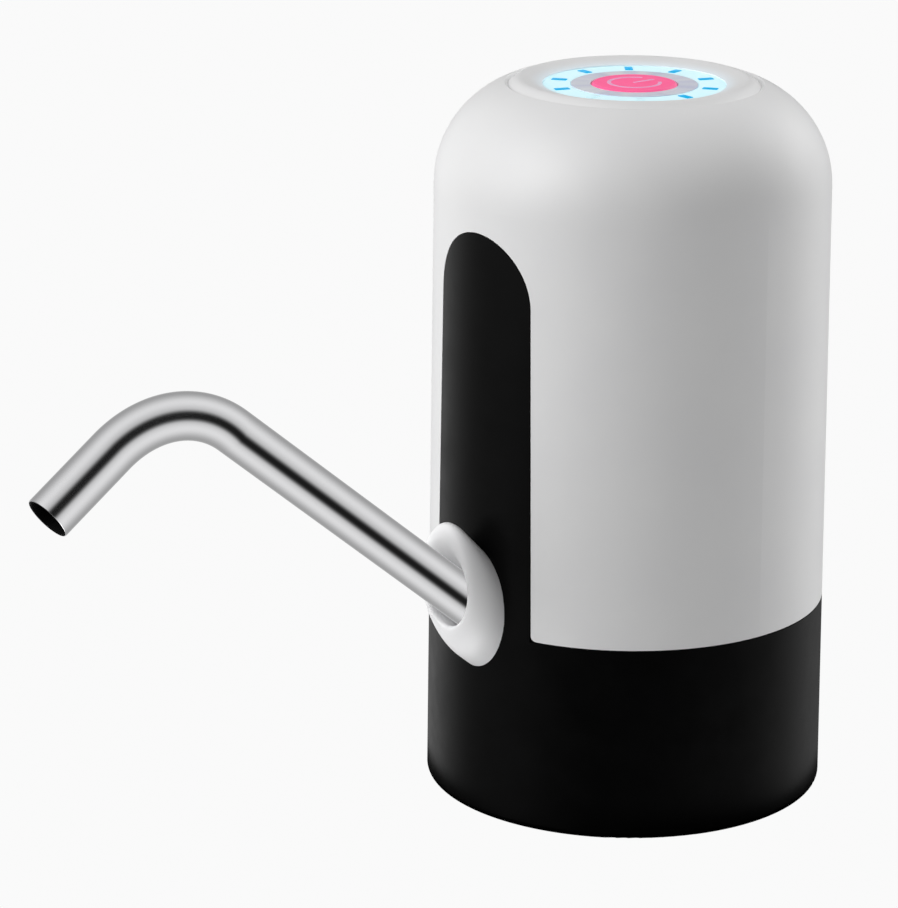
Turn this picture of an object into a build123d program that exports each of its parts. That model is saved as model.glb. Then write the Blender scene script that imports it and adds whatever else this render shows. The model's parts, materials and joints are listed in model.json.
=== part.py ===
from build123d import *
import os
from math import cos, radians, sin, sqrt, tan

os.makedirs("parts", exist_ok=True)

# Bottle-top electric water pump. +Z is up, the spout points to -Y and the charging
# port to +Y. The origin is the centre of the bottle-neck bore, on the bottom plane.

# Clearances and fits
fit_gap = 0.1            # moulded piece dropped into moulded piece
running_gap = 0.03       # shaft in its bush, pin in its hub
seal_gap = 0.05          # sliding seal in its bore
hose_gap = 0.05          # hose over its barb
overrun = 1.0            # how far a cut runs past what it cuts

# Outer body
foot_skirt = 5.6
body_draft = 0.44        # degrees, the body narrows upwards
foot_round = 1.3
seam_rise = 9.6
seam_gap = 0.2
base_wall = 2.4
shell_wall = 2.3

# Dome and the raised ring round the button well
groove_radius = 23.4
groove_inset = 6.8
groove_width = 1.1
groove_depth = 0.45
crest_radius = 20.6
crest_rise = 1.15
well_radius = 16.6
well_edge_rise = 0.35
crown_thickness = 2.9

# Black tongue up the front, in a slot of the white shell
tongue_half_low = 13.2
tongue_half_high = 12.1
tongue_spring_drop = 16.1
tongue_apex_drop = 4.6
slot_gap = 0.15
slot_corner = 1.0
lip_width = 2.4
lip_gap = 0.15
lip_thickness = 1.2

# Lap joint between the two shells
lap_height = 3.2
lap_root = 3.0
lap_gap = 0.15
lap_wall = 1.3
snap_count = 4
snap_radius = 0.5
snap_rise = 1.8
snap_length = 7.0
snap_inset = 0.2

# Neck socket that drops over the bottle
neck_bore_radius = 28.2
neck_lead = 0.5
neck_bore_length = 12.0
neck_depth = 24.5
neck_wall = 1.6
ceiling_thickness = 2.0
rim_thickness = 2.4
rib_count = 8
rib_thickness = 1.4
rib_height = 20.0
rib_bite = 0.6

# Silicone grip in the neck socket
gasket_wall = 0.9
gasket_pocket = 1.6
gasket_seat_thickness = 2.0
gasket_seat_radius = 20.0
gasket_lip_count = 3
gasket_lip_reach = 1.4
gasket_lip_half = 0.7
gasket_lip_start = 3.8
gasket_lip_pitch = 2.6

# Bent spout
spout_root_rise = 3.65
spout_rise = 39.08       # degrees above level, out of the body
spout_fall = 35.12       # degrees below level, after the bend
spout_run = 83.9
spout_drop = 31.5
spout_bend_radius = 20.5
spout_radius = 4.2
spout_wall = 0.5
spout_plug_depth = 5.0

# Collar round the spout
collar_half_width = 7.8
collar_half_height = 12.1
collar_reach = 7.2
collar_round = 1.9
collar_round_steps = 5
collar_bore_radius = 5.3
collar_lip_round = 0.5
collar_neck_radius = 6.9
collar_seat_gap = 0.05
collar_neck_inset = 5.3

# End fitting of the spout, with two seals
ferrule_length = 7.0
ferrule_radius = 4.7
ferrule_spigot = 4.5
ferrule_bore_radius = 2.4
ferrule_groove_radius = 3.6
seal_section_radius = 0.65
seal_count = 2
seal_pitch = 2.8
seal_first_offset = 1.9

# Socket that takes the spout, and its outlet barb
socket_bore_radius = 5.0
socket_wall = 1.6
socket_floor = 1.5
socket_stop_gap = 0.1
elbow_radius = 3.4
elbow_setback = 16.2
channel_radius = 1.5
channel_rise = 4.5
socket_barb_height = 12.0

# Barbs and hoses
barb_core_radius = 1.95
barb_crest_radius = 2.2
barb_bore_radius = 1.2
barb_pitch = 2.6
barb_count = 3
hose_wall = 1.0
hose_bend_radius = 7.0
hose_headroom = 16.0
hose_roof_gap = 2.2
clip_wire_radius = 0.45
clip_setback = 2.4
clip_ear = 2.2

# Bulkhead nipple through the neck ceiling
nipple_y = -6.0
nipple_body_radius = 3.6
nipple_hole_gap = 0.15
nipple_flange_radius = 5.1
nipple_flange_thickness = 1.6
nipple_seal_thickness = 0.8
nipple_tail_radius = 3.2
nipple_tail_length = 7.0
nipple_bore_radius = 1.3
nipple_tip_chamfer = 0.5
nut_radius = 6.6
nut_height = 2.6
nut_sides = 6

# Inner frame
frame_floor = 2.0
frame_floor_setback = 0.2
frame_hole_gap = 0.6
cradle_wall = 1.5
cradle_gap = 0.25
cradle_opening = 13.0
post_radius = 2.5
post_wall_gap = 8.3
post_bearings = [230.5, 316.0]
rear_post_place = (-0.5, 14.0)
pilot_radius = 0.95
pilot_depth = 8.0
bracket_thickness = 2.0
bracket_margin = 0.9
bracket_hose_gap = 0.8

# Screws
screw_radius = 0.9
screw_head_radius = 1.9
screw_head_height = 1.3
screw_length = 7.0
screw_socket_radius = 0.8
screw_socket_depth = 0.6

# Cell
battery_length = 65.0
battery_radius = 9.25
battery_nub_radius = 3.0
battery_nub_height = 1.2
battery_crimp_depth = 0.5
battery_crimp_drop = 4.0
battery_crimp_half = 0.8
battery_wall_gap = 4.0
battery_bearing = 22.0   # degrees about the body's axis, from +X
tab_width = 6.0
tab_thickness = 0.15
tab_reach = 12.0
lower_pad = 0.8
upper_pad = 0.4
pad_hole_radius = 4.5

# Motor
motor_radius = 12.1
motor_length = 30.0
can_wall = 0.9
can_face = 1.0
can_edge_round = 0.8
boss_radius = 3.4
boss_height = 2.0
bush_radius = 2.4
bush_length = 2.0
end_cap_thickness = 2.5
shaft_radius = 1.0
magnet_thickness = 2.3
magnet_inset = 5.0
magnet_length = 18.0
magnet_sweep = 130.0
air_gap = 0.35
pole_count = 3
pole_sweep = 98.0
pole_shoe = 1.3
pole_arm = 2.8
core_hub_radius = 2.9
core_length = 14.0
core_inset = 7.0
coil_width = 6.0
coil_overhang = 1.8
coil_start = 3.5
coil_gap = 0.1
commutator_radius = 2.6
commutator_length = 3.6
commutator_inset = 3.0
brush_width = 2.2
brush_length = 4.6
brush_height = 2.4
brush_gap = 0.1
terminal_width = 2.2
terminal_thickness = 0.5
terminal_length = 3.5
terminal_circle_radius = 7.4
sleeve_thickness = 1.0
sleeve_height = 16.0
sleeve_inset = 5.0
ledge_height = 2.0
ledge_grip = 0.8
terminal_room = 7.0
cradle_rise = 22.0

# Pump head
pump_bearing = 158.0     # degrees about the body's axis, from +X
pump_wall_gap = 1.0
pump_side = 25.0
pump_corner = 5.0
housing_height = 17.0
housing_floor = 2.0
housing_bore_radius = 10.9
diaphragm_thickness = 1.2
valve_thickness = 3.0
cover_height = 6.8
cover_roof = 2.4
cover_wall = 1.1
outlet_chamber_radius = 4.9
inlet_chamber_radius = 10.2
outlet_nozzle_offset = 2.2
inlet_nozzle_offset = 8.1
outlet_nozzle_bearing = 270.0
inlet_nozzle_bearing = 60.0
nozzle_root_height = 1.8
pump_screw_offset = 9.6
motor_screw_circle_radius = 8.1
motor_screw_count = 2
motor_screw_depth = 1.6

# Wobble drive
wobble_tilt = 9.0        # degrees between the pin and the motor's axis
eccentric_radius = 5.4
eccentric_height = 4.6
eccentric_lift = 3.6
shaft_grip = 2.2
pin_grip = 2.2
pin_radius = 0.8
plate_pivot_drop = 4.7
plate_thickness = 1.8
plate_hub_radius = 2.6
plate_hub_height = 3.4
plate_arm_radius = 2.1
plate_arm_circle_radius = 7.0
cup_radius = 2.9
cup_depth = 2.0
cup_wall = 0.7
valve_disc_radius = 2.1
valve_disc_thickness = 0.5
valve_stem_radius = 0.7
outlet_valve_radius = 3.6
port_radius = 0.7
port_circle_radius = 1.3

# Charging board at the back of the base
charge_board_width = 18.0
charge_board_depth = 13.6
charge_board_setback = 1.4
charge_board_lift = 0.9
board_thickness = 1.2
standoff_radius = 1.4
standoff_inset = 2.0
usb_width = 7.5
usb_height = 2.6
usb_depth = 5.6
usb_wall = 0.35
usb_setback = 2.7
usb_corner = 0.8
usb_tongue_width = 4.2
usb_tongue_thickness = 0.7
usb_tongue_setback = 0.8
port_gap = 0.35
port_recess_width = 11.4
port_recess_height = 7.0
port_recess_depth = 1.0
port_recess_corner = 2.0
chip_height = 1.1
chip_sizes = [(4.9, 3.9), (3.0, 3.0), (2.9, 1.6)]
chip_places = [(0.0, -0.3), (-5.6, 0.2), (5.4, -0.2)]

# Button well
ring_drop = 0.35
light_ring_inner = 11.6
light_ring_gap = 0.1
light_flange_thickness = 1.6
light_skirt_radius = 18.2
light_skirt_wall = 1.3
bezel_rise = 0.1
bezel_inner = 7.95
bezel_gap = 0.12
bezel_flange_radius = 12.8
bezel_flange_thickness = 1.4
button_radius = 7.75
button_rise = 0.2
button_edge_round = 0.4
button_flange_radius = 9.4
button_flange_thickness = 1.1
button_play = 0.1
button_boss_radius = 3.0
button_board_drop = 9.0
button_board_radius = 24.3
button_board_thickness = 1.6
board_boss_radius = 2.6
board_boss_circle_radius = 21.5
board_boss_count = 3
board_screw_length = 5.0
switch_side = 6.0
switch_height = 3.3
plunger_radius = 1.75
plunger_rise = 0.9
plunger_hole_depth = 2.0
plunger_foot_gap = 0.7
led_count = 10
led_circle_radius = 14.0
led_length = 3.0
led_width = 1.4
led_bearing = -1.0
led_height = 1.0

# Leads
lead_radius = 0.6
lead_bend_radius = 2.0
lead_solder_gap = 0.35
positive_lead_offset = 14.0
negative_lead_offset = 12.2
near_motor_lead_offset = 11.3
far_motor_lead_offset = 9.1
motor_lead_bend_offset = 5.5
lead_descent = 2.0
lead_landing = 3.5
ribbon_width = 4.0
ribbon_thickness = 0.8
ribbon_landing = 2.0


def outer_radius(z):
    return foot_radius - z * tan(radians(body_draft))


def shell_inner(z):
    return outer_radius(z) - shell_wall


def polar(radius, bearing):
    return radius * cos(radians(bearing)), radius * sin(radians(bearing))


def outline(points, plane):
    # A closed profile of straight sides on a plane
    with BuildSketch(plane) as profile:
        with BuildLine():
            Polyline(*points, close=True)
        make_face()
    return profile.sketch


def upright(x, y):
    # Vertical section plane through a point: local x is +X and local y is height
    return Plane(origin=(x, y, 0), x_dir=(1, 0, 0), z_dir=(0, -1, 0))


def barbs(root):
    # Saw-tooth outline of a hose barb beside its axis, from its root upwards
    points = [(barb_bore_radius, root)]
    for index in range(barb_count):
        foot = root + index * barb_pitch
        points += [(barb_crest_radius, foot), (barb_core_radius, foot + barb_pitch)]
    return points + [(barb_bore_radius, root + hose_grip)]


# Heights up the body, from the neck's ceiling to the crown
neck_outer = neck_bore_radius + gasket_pocket + neck_wall
ceiling_top = neck_depth + ceiling_thickness
seam_height = ceiling_top + seam_rise
spout_root_height = seam_height + spout_root_rise
floor_top = ceiling_top + frame_floor
battery_stack = lower_pad + upper_pad + battery_length + 2 * tab_thickness
head_stack = housing_height + diaphragm_thickness + valve_thickness + cover_height
pump_stack = terminal_room + motor_length + head_stack
frame_height = max(battery_stack, pump_stack)
bracket_bottom = floor_top + frame_height
bracket_top = bracket_bottom + bracket_thickness
cover_bottom = bracket_bottom - cover_height
valve_bottom = cover_bottom - valve_thickness
housing_top = valve_bottom - diaphragm_thickness
motor_top = housing_top - housing_height
motor_bottom = motor_top - motor_length
hose_bore_radius = barb_crest_radius + hose_gap
hose_radius = hose_bore_radius + hose_wall
hose_grip = barb_count * barb_pitch
hose_crown = bracket_top + hose_headroom
board_bottom = hose_crown + hose_radius + hose_roof_gap
board_top = board_bottom + button_board_thickness
crown_under = board_top + button_board_drop
groove_height = crown_under + crown_thickness
crest_height = groove_height + crest_rise

# Dome between the straight wall and the groove
foot_radius = neck_outer + foot_skirt
dome_centre = groove_radius - groove_inset
dome_reach = foot_radius - groove_height * tan(radians(body_draft)) - dome_centre
shoulder_height = groove_height - sqrt(dome_reach**2 - groove_inset**2)
shoulder_radius = foot_radius - shoulder_height * tan(radians(body_draft)) - dome_centre
tongue_spring_height = shoulder_height - tongue_spring_drop
tongue_apex_height = shoulder_height - tongue_apex_drop

# Plan of the inside
port_height = floor_top + charge_board_lift + board_thickness + usb_height / 2
usb_front = outer_radius(port_height) - usb_setback
charge_board_back = usb_front - charge_board_setback
charge_board_front = charge_board_back - charge_board_depth
cavity_radius = shell_inner(shoulder_height)
pump_reach = (pump_side / 2 - pump_corner) * sqrt(2) + pump_corner
pump_x, pump_y = polar(cavity_radius - pump_wall_gap - pump_reach, pump_bearing)
cradle_inner = battery_radius + cradle_gap
cradle_outer = cradle_inner + cradle_wall
battery_x, battery_y = polar(cavity_radius - battery_wall_gap - cradle_outer, battery_bearing)
post_circle_radius = cavity_radius - post_wall_gap - post_radius
post_places = [rear_post_place] + [polar(post_circle_radius, bearing) for bearing in post_bearings]
pump_plane = upright(pump_x, pump_y)
pump_axis = Axis((pump_x, pump_y, 0), (0, 0, 1))
battery_plane = upright(battery_x, battery_y)
battery_axis = Axis((battery_x, battery_y, 0), (0, 0, 1))
nipple_plane = upright(0, nipple_y)
nipple_axis = Axis((0, nipple_y, 0), (0, 0, 1))
outlet_x = pump_x + polar(outlet_nozzle_offset, outlet_nozzle_bearing)[0]
outlet_y = pump_y + polar(outlet_nozzle_offset, outlet_nozzle_bearing)[1]
inlet_x = pump_x + polar(inlet_nozzle_offset, inlet_nozzle_bearing)[0]
inlet_y = pump_y + polar(inlet_nozzle_offset, inlet_nozzle_bearing)[1]
screw_corners = [(sx * pump_screw_offset, sy * pump_screw_offset) for sx in (-1, 1) for sy in (-1, 1)]

# Axis of the spout's first run
rise = radians(spout_rise)
fall = radians(spout_fall)
spout_direction = (0, -cos(rise), sin(rise))
spout_origin = (0, -outer_radius(spout_root_height), spout_root_height)
spout_plane = Plane(origin=spout_origin, x_dir=(1, 0, 0), z_dir=spout_direction)
spout_section = Plane(origin=spout_origin, x_dir=(1, 0, 0), z_dir=(0, -sin(rise), -cos(rise)))
spout_axis = Axis(spout_origin, spout_direction)
elbow_y = elbow_setback - outer_radius(spout_root_height)
collar_neck_y = collar_neck_inset - outer_radius(spout_root_height)
spout_stop = spout_plug_depth + ferrule_length + socket_stop_gap


def along_spout(distance):
    # A point on the spout's first run, measured outwards from the body's surface
    return tuple(o + distance * d for o, d in zip(spout_origin, spout_direction))


def slot_sketch(grow, corner=0.0):
    # Front view of the tongue, or of the slot round it when it is grown
    low = seam_height - lap_root - overrun
    half_low = tongue_half_low + grow
    half_high = tongue_half_high + grow
    foot = seam_height + seam_gap
    with BuildSketch(Plane.XZ) as front:
        with BuildLine():
            if corner:
                arc_x = half_low + corner
                bulge = corner * sin(radians(45))
                for side in (-1, 1):
                    Polyline((0, low), (side * arc_x, low), (side * arc_x, foot))
                    ThreePointArc(
                        (side * arc_x, foot),
                        (side * (arc_x - bulge), foot + corner - bulge),
                        (side * half_low, foot + corner),
                    )
                    Line((side * half_low, foot + corner), (side * half_high, tongue_spring_height))
            else:
                for side in (-1, 1):
                    Polyline((0, low), (side * half_low, low), (side * half_high, tongue_spring_height))
            ThreePointArc(
                (-half_high, tongue_spring_height),
                (0, tongue_apex_height + grow),
                (half_high, tongue_spring_height),
            )
        make_face()
    return front.sketch


def wall_band(outside, inside, low, high):
    # Section of a band of the body's wall, between two depths below its surface
    return outline(
        [
            (outer_radius(low) - inside, low),
            (outer_radius(low) - outside, low),
            (outer_radius(high) - outside, high),
            (outer_radius(high) - inside, high),
        ],
        Plane.XZ,
    )


# Upper shell: white dome with a slot for the tongue and a ring round the button well
shell_bottom = seam_height + seam_gap
inner_shoulder = shoulder_radius - shell_wall
crown_flat = dome_centre + sqrt(inner_shoulder**2 - (crown_under - shoulder_height) ** 2)
groove_floor = (groove_radius - groove_width / 2, groove_height - groove_depth)
well_edge = (well_radius, groove_height + well_edge_rise)
snap_height = shell_bottom + snap_rise

with BuildPart() as upper_shell:
    with BuildSketch(Plane.XZ):
        with BuildLine():
            Line((shell_inner(shell_bottom), shell_bottom), (outer_radius(shell_bottom), shell_bottom))
            Line((outer_radius(shell_bottom), shell_bottom), (outer_radius(shoulder_height), shoulder_height))
            RadiusArc(
                (outer_radius(shoulder_height), shoulder_height),
                (groove_radius, groove_height),
                -shoulder_radius,
            )
            Line((groove_radius, groove_height), groove_floor)
            Line(groove_floor, (groove_floor[0] - groove_width / 2, groove_height))
            ThreePointArc(
                (groove_floor[0] - groove_width / 2, groove_height),
                (crest_radius - groove_width / 2, crest_height),
                well_edge,
            )
            Polyline(well_edge, (well_radius, crown_under), (crown_flat, crown_under))
            RadiusArc(
                (crown_flat, crown_under),
                (shell_inner(shoulder_height), shoulder_height),
                inner_shoulder,
            )
            Line((shell_inner(shoulder_height), shoulder_height), (shell_inner(shell_bottom), shell_bottom))
        make_face()
    revolve(axis=Axis.Z)
    # Bosses that carry the button board
    with BuildSketch(Plane.XY.offset(board_top)):
        with PolarLocations(board_boss_circle_radius, board_boss_count, start_angle=-90):
            Circle(board_boss_radius)
    extrude(amount=crown_under + overrun - board_top)
    with BuildSketch(Plane.XY.offset(board_top)):
        with PolarLocations(board_boss_circle_radius, board_boss_count, start_angle=-90):
            Circle(pilot_radius)
    extrude(amount=board_screw_length, mode=Mode.SUBTRACT)
    extrude(slot_sketch(slot_gap, slot_corner), amount=foot_radius + overrun, mode=Mode.SUBTRACT)
    # Groove that the base's snaps click into
    with BuildSketch(Plane.XZ):
        with Locations((shell_inner(snap_height) - snap_inset, snap_height)):
            Circle(snap_radius + fit_gap)
    revolve(axis=Axis.Z, mode=Mode.SUBTRACT)
upper_shell.part.label = "upper_shell"
export_step(upper_shell.part, "parts/upper_shell.step")

# Tongue of the base: it fills the slot flush, with a lip behind the shell's edges
tongue_low = seam_height - lap_root
tongue_high = tongue_apex_height + lip_width + overrun
lip_outside = shell_wall + lip_gap
lip_inside = lip_outside + lip_thickness

with BuildPart() as tongue_face:
    revolve(wall_band(0, lip_inside, tongue_low, tongue_high), axis=Axis.Z)
    extrude(slot_sketch(0), amount=foot_radius + overrun, mode=Mode.INTERSECT)

with BuildPart() as tongue_lip:
    revolve(wall_band(lip_outside, lip_inside, tongue_low, tongue_high), axis=Axis.Z)
    extrude(slot_sketch(lip_width), amount=foot_radius + overrun, mode=Mode.INTERSECT)

# Base shell: black foot with the neck socket, ribs, lap joint, port and tongue
lap_outside = shell_wall + lap_gap
lap_inside = lap_outside + lap_wall
lap_top = seam_height + lap_height
lap_foot = seam_height - lap_root
pocket_radius = neck_bore_radius + gasket_pocket
port_width = usb_width + 2 * port_gap
port_tall = usb_height + 2 * port_gap
rib_inner = neck_outer - rib_bite
rib_outer = outer_radius(rib_height) - base_wall + rib_bite

with BuildPart() as base_shell:
    with BuildSketch(Plane.XZ) as base_profile:
        with BuildLine():
            Polyline(
                (0, neck_depth),
                (pocket_radius, neck_depth),
                (pocket_radius, neck_bore_length),
                (neck_bore_radius, neck_bore_length),
                (neck_bore_radius, neck_lead),
                (neck_bore_radius + neck_lead, 0),
                (foot_radius, 0),
                (outer_radius(seam_height), seam_height),
                (outer_radius(seam_height) - lap_outside, seam_height),
                (outer_radius(lap_top) - lap_outside, lap_top),
                (outer_radius(lap_top) - lap_inside, lap_top),
                (outer_radius(lap_foot) - lap_inside, lap_foot),
                (outer_radius(lap_foot - lap_wall) - base_wall, lap_foot - lap_wall),
                (outer_radius(rim_thickness) - base_wall, rim_thickness),
                (neck_outer, rim_thickness),
                (neck_outer, ceiling_top),
                (0, ceiling_top),
                close=True,
            )
        make_face()
        fillet(base_profile.vertices().sort_by_distance((foot_radius, 0))[0], foot_round)
    revolve(axis=Axis.Z)
    # Radial ribs between the neck wall and the outer wall
    with BuildSketch(Plane.XY.offset(rim_thickness - overrun)):
        with PolarLocations((rib_inner + rib_outer) / 2, rib_count, start_angle=180 / rib_count):
            Rectangle(rib_outer - rib_inner, rib_thickness)
    extrude(amount=rib_height - rim_thickness + overrun)
    add(tongue_face.part)
    add(tongue_lip.part)
    # Snaps on the lap
    for quarter in range(snap_count):
        snap_bearing = (quarter + 0.5) * 360 / snap_count
        snap_turn = Plane(origin=(0, 0, snap_height), z_dir=(0, 0, 1), x_dir=(*polar(1, snap_bearing), 0))
        with BuildSketch(Plane(origin=snap_turn.origin, x_dir=snap_turn.x_dir, z_dir=snap_turn.y_dir)):
            with Locations((shell_inner(snap_height) - snap_inset - lap_gap, 0)):
                Circle(snap_radius)
        extrude(amount=snap_length / 2, both=True)
    # Hole through the tongue for the collar's neck
    with BuildSketch(spout_plane.offset(-spout_stop)):
        Circle(collar_neck_radius + fit_gap)
    extrude(amount=spout_stop + collar_half_height, mode=Mode.SUBTRACT)
    # Hole through the ceiling for the nipple, and countersunk holes for the screws
    with Locations((0, nipple_y, ceiling_top)):
        Hole(nipple_body_radius + nipple_hole_gap, depth=ceiling_thickness + overrun)
    with BuildSketch(Plane.XY.offset(neck_depth)):
        with Locations(*post_places):
            Circle(screw_head_radius + fit_gap)
    extrude(amount=screw_head_height, mode=Mode.SUBTRACT)
    with BuildSketch(Plane.XY.offset(neck_depth)):
        with Locations(*post_places):
            Circle(screw_radius + fit_gap)
    extrude(amount=ceiling_thickness, mode=Mode.SUBTRACT)
    # Charging port, with a shallow recess for the plug's body
    with BuildSketch(Plane.XZ.offset(-neck_outer)):
        with Locations((0, port_height)):
            RectangleRounded(port_width, port_tall, usb_corner + port_gap)
    extrude(amount=-foot_radius, mode=Mode.SUBTRACT)
    with BuildSketch(Plane.XZ.offset(port_recess_depth - outer_radius(port_height))):
        with Locations((0, port_height)):
            RectangleRounded(port_recess_width, port_recess_height, port_recess_corner)
    extrude(amount=-port_recess_depth - overrun, mode=Mode.SUBTRACT)
base_shell.part.label = "base_shell"
export_step(base_shell.part, "parts/base_shell.step")

# Neck gasket: silicone sleeve with lips, and a flat seat under the ceiling
gasket_outer = pocket_radius - fit_gap
gasket_inner = gasket_outer - gasket_wall
gasket_bottom = neck_bore_length + fit_gap
gasket_seat = neck_depth - gasket_seat_thickness
gasket_points = [
    (gasket_outer, gasket_bottom),
    (gasket_outer, neck_depth),
    (gasket_seat_radius, neck_depth),
    (gasket_seat_radius, gasket_seat),
    (gasket_inner, gasket_seat),
]
for index in reversed(range(gasket_lip_count)):
    lip_height = gasket_bottom + gasket_lip_start + index * gasket_lip_pitch
    gasket_points += [
        (gasket_inner, lip_height + gasket_lip_half),
        (gasket_inner - gasket_lip_reach, lip_height),
        (gasket_inner, lip_height - gasket_lip_half),
    ]
gasket_points += [(gasket_inner, gasket_bottom)]

with BuildPart() as neck_gasket:
    revolve(outline(gasket_points, Plane.XZ), axis=Axis.Z)
neck_gasket.part.label = "neck_gasket"
export_step(neck_gasket.part, "parts/neck_gasket.step")

# Spout collar: an oval boss cut upright in front, bored along the spout
collar_front = outer_radius(spout_root_height) + collar_reach
collar_front_height = spout_root_height + collar_reach * tan(rise)
collar_length = (collar_reach + collar_neck_inset) / cos(rise)


def collar_section(share):
    # Upright section of the oval boss, from its full size to its front face
    depth = collar_round * (1 - sin(radians(90 * share)))
    shrink = collar_round * (1 - cos(radians(90 * share)))
    with BuildSketch(Plane.XZ.offset(collar_front - depth)) as section:
        with Locations((0, collar_front_height - depth * tan(rise))):
            Ellipse(collar_half_width - shrink, collar_half_height - shrink)
    return section.sketch


with BuildPart() as spout_collar:
    collar_sections = [collar_section(step / collar_round_steps) for step in range(collar_round_steps + 1)]
    for lower, upper in zip(collar_sections, collar_sections[1:]):
        loft([lower, upper], ruled=True)
    extrude(collar_sections[0], amount=collar_length, dir=(0, cos(rise), -sin(rise)))
    Cone(
        outer_radius(0) + collar_seat_gap,
        outer_radius(shoulder_height) + collar_seat_gap,
        shoulder_height,
        align=(Align.CENTER, Align.CENTER, Align.MIN),
        mode=Mode.SUBTRACT,
    )
    with BuildSketch(spout_plane.offset(-spout_stop)):
        Circle(collar_neck_radius)
    extrude(amount=spout_stop + collar_round)
    split(bisect_by=Plane.XZ.offset(-collar_neck_y), keep=Keep.TOP)
    with BuildSketch(spout_plane.offset(-spout_stop)):
        Circle(collar_bore_radius)
    extrude(amount=spout_stop + 2 * collar_length, mode=Mode.SUBTRACT)
    mouth = spout_collar.faces().filter_by(Axis.Y).sort_by(Axis.Y)[0]
    fillet(mouth.inner_wires()[0].edges(), collar_lip_round)
spout_collar.part.label = "spout_collar"
export_step(spout_collar.part, "parts/spout_collar.step")

# Spout tube: thin steel tube, bent once
spout_foot = along_spout(-spout_plug_depth)
spout_corner = along_spout(spout_run)
spout_tip = (
    0,
    spout_corner[1] - spout_drop * cos(fall),
    spout_corner[2] - spout_drop * sin(fall),
)

with BuildPart() as spout_tube:
    with BuildLine() as spout_path:
        FilletPolyline(spout_foot, spout_corner, spout_tip, radius=spout_bend_radius)
    with BuildSketch(spout_plane.offset(-spout_plug_depth)):
        Circle(spout_radius)
        Circle(spout_radius - spout_wall, mode=Mode.SUBTRACT)
    sweep(path=spout_path.wire())
spout_tube.part.label = "spout_tube"
export_step(spout_tube.part, "parts/spout_tube.step")

# Spout ferrule: end fitting pressed into the tube, with a groove for each seal
ferrule_end = -spout_plug_depth - ferrule_length
spigot_radius = spout_radius - spout_wall
seal_places = [ferrule_end + seal_first_offset + index * seal_pitch for index in range(seal_count)]
groove_half = seal_section_radius + seal_gap
ferrule_points = [(ferrule_bore_radius, ferrule_end), (ferrule_radius, ferrule_end)]
for place in seal_places:
    ferrule_points += [
        (ferrule_radius, place - groove_half),
        (ferrule_groove_radius, place - groove_half),
        (ferrule_groove_radius, place + groove_half),
        (ferrule_radius, place + groove_half),
    ]
ferrule_points += [
    (ferrule_radius, -spout_plug_depth),
    (spigot_radius, -spout_plug_depth),
    (spigot_radius, ferrule_spigot - spout_plug_depth),
    (ferrule_bore_radius, ferrule_spigot - spout_plug_depth),
]

with BuildPart() as spout_ferrule:
    revolve(outline(ferrule_points, spout_section), axis=spout_axis)
spout_ferrule.part.label = "spout_ferrule"
export_step(spout_ferrule.part, "parts/spout_ferrule.step")

# Spout seals: two rubber rings that slide in the socket's bore
seal_centre = socket_bore_radius - seal_gap - seal_section_radius

with BuildPart() as spout_o_rings:
    for place in seal_places:
        with BuildSketch(spout_section):
            with Locations((seal_centre, place)):
                Circle(seal_section_radius)
        revolve(axis=spout_axis)
spout_o_rings.part.label = "spout_o_rings"
export_step(spout_o_rings.part, "parts/spout_o_rings.step")

# Spout socket: sloping cup on the neck ceiling, drilled through to an upright barb
socket_radius = socket_bore_radius + socket_wall
channel_height = ceiling_top + channel_rise
barb_root = ceiling_top + socket_barb_height
socket_block = -collar_neck_y - channel_rise + elbow_y

with BuildPart() as spout_socket:
    with BuildSketch(spout_plane.offset(-spout_stop - socket_floor)):
        Circle(socket_radius)
    extrude(amount=spout_stop + socket_floor)
    split(bisect_by=Plane.XZ.offset(-collar_neck_y), keep=Keep.BOTTOM)
    with BuildSketch(Plane.XY.offset(ceiling_top)):
        with Locations((0, elbow_y - socket_block / 2)):
            Rectangle(2 * elbow_radius, socket_block)
        with Locations((0, elbow_y)):
            Circle(elbow_radius)
    extrude(amount=channel_rise + elbow_radius)
    split(bisect_by=Plane.XY.offset(ceiling_top), keep=Keep.TOP)
    with BuildSketch(Plane.XY.offset(ceiling_top)):
        with Locations((0, elbow_y)):
            Circle(elbow_radius)
    extrude(amount=socket_barb_height)
    with BuildSketch(spout_plane.offset(-spout_stop)):
        Circle(socket_bore_radius)
    extrude(amount=spout_stop, mode=Mode.SUBTRACT)
    with BuildSketch(Plane.XZ.offset(-elbow_y)):
        with Locations((0, channel_height)):
            Circle(channel_radius)
    extrude(amount=socket_block, mode=Mode.SUBTRACT)
    with BuildSketch(Plane.XY.offset(channel_height)):
        with Locations((0, elbow_y)):
            Circle(barb_bore_radius)
    extrude(amount=socket_barb_height, mode=Mode.SUBTRACT)
    revolve(
        outline(barbs(barb_root), upright(0, elbow_y)),
        axis=Axis((0, elbow_y, 0), (0, 0, 1)),
    )
spout_socket.part.label = "spout_socket"
export_step(spout_socket.part, "parts/spout_socket.step")

# Nipple: bulkhead fitting for the drop hose below and the inlet hose above
flange_bottom = ceiling_top + nipple_seal_thickness
flange_top = flange_bottom + nipple_flange_thickness
nut_bottom = neck_depth - nut_height
tail_bottom = nut_bottom - nipple_tail_length
nipple_points = [
    (nipple_bore_radius, tail_bottom),
    (nipple_tail_radius - nipple_tip_chamfer, tail_bottom),
    (nipple_tail_radius, tail_bottom + nipple_tip_chamfer),
    (nipple_tail_radius, nut_bottom),
    (nipple_body_radius, nut_bottom),
    (nipple_body_radius, flange_bottom),
    (nipple_flange_radius, flange_bottom),
    (nipple_flange_radius, flange_top),
]
nipple_points += barbs(flange_top)[1:]
nipple_points += [(barb_bore_radius, flange_top), (nipple_bore_radius, flange_top)]

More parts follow.
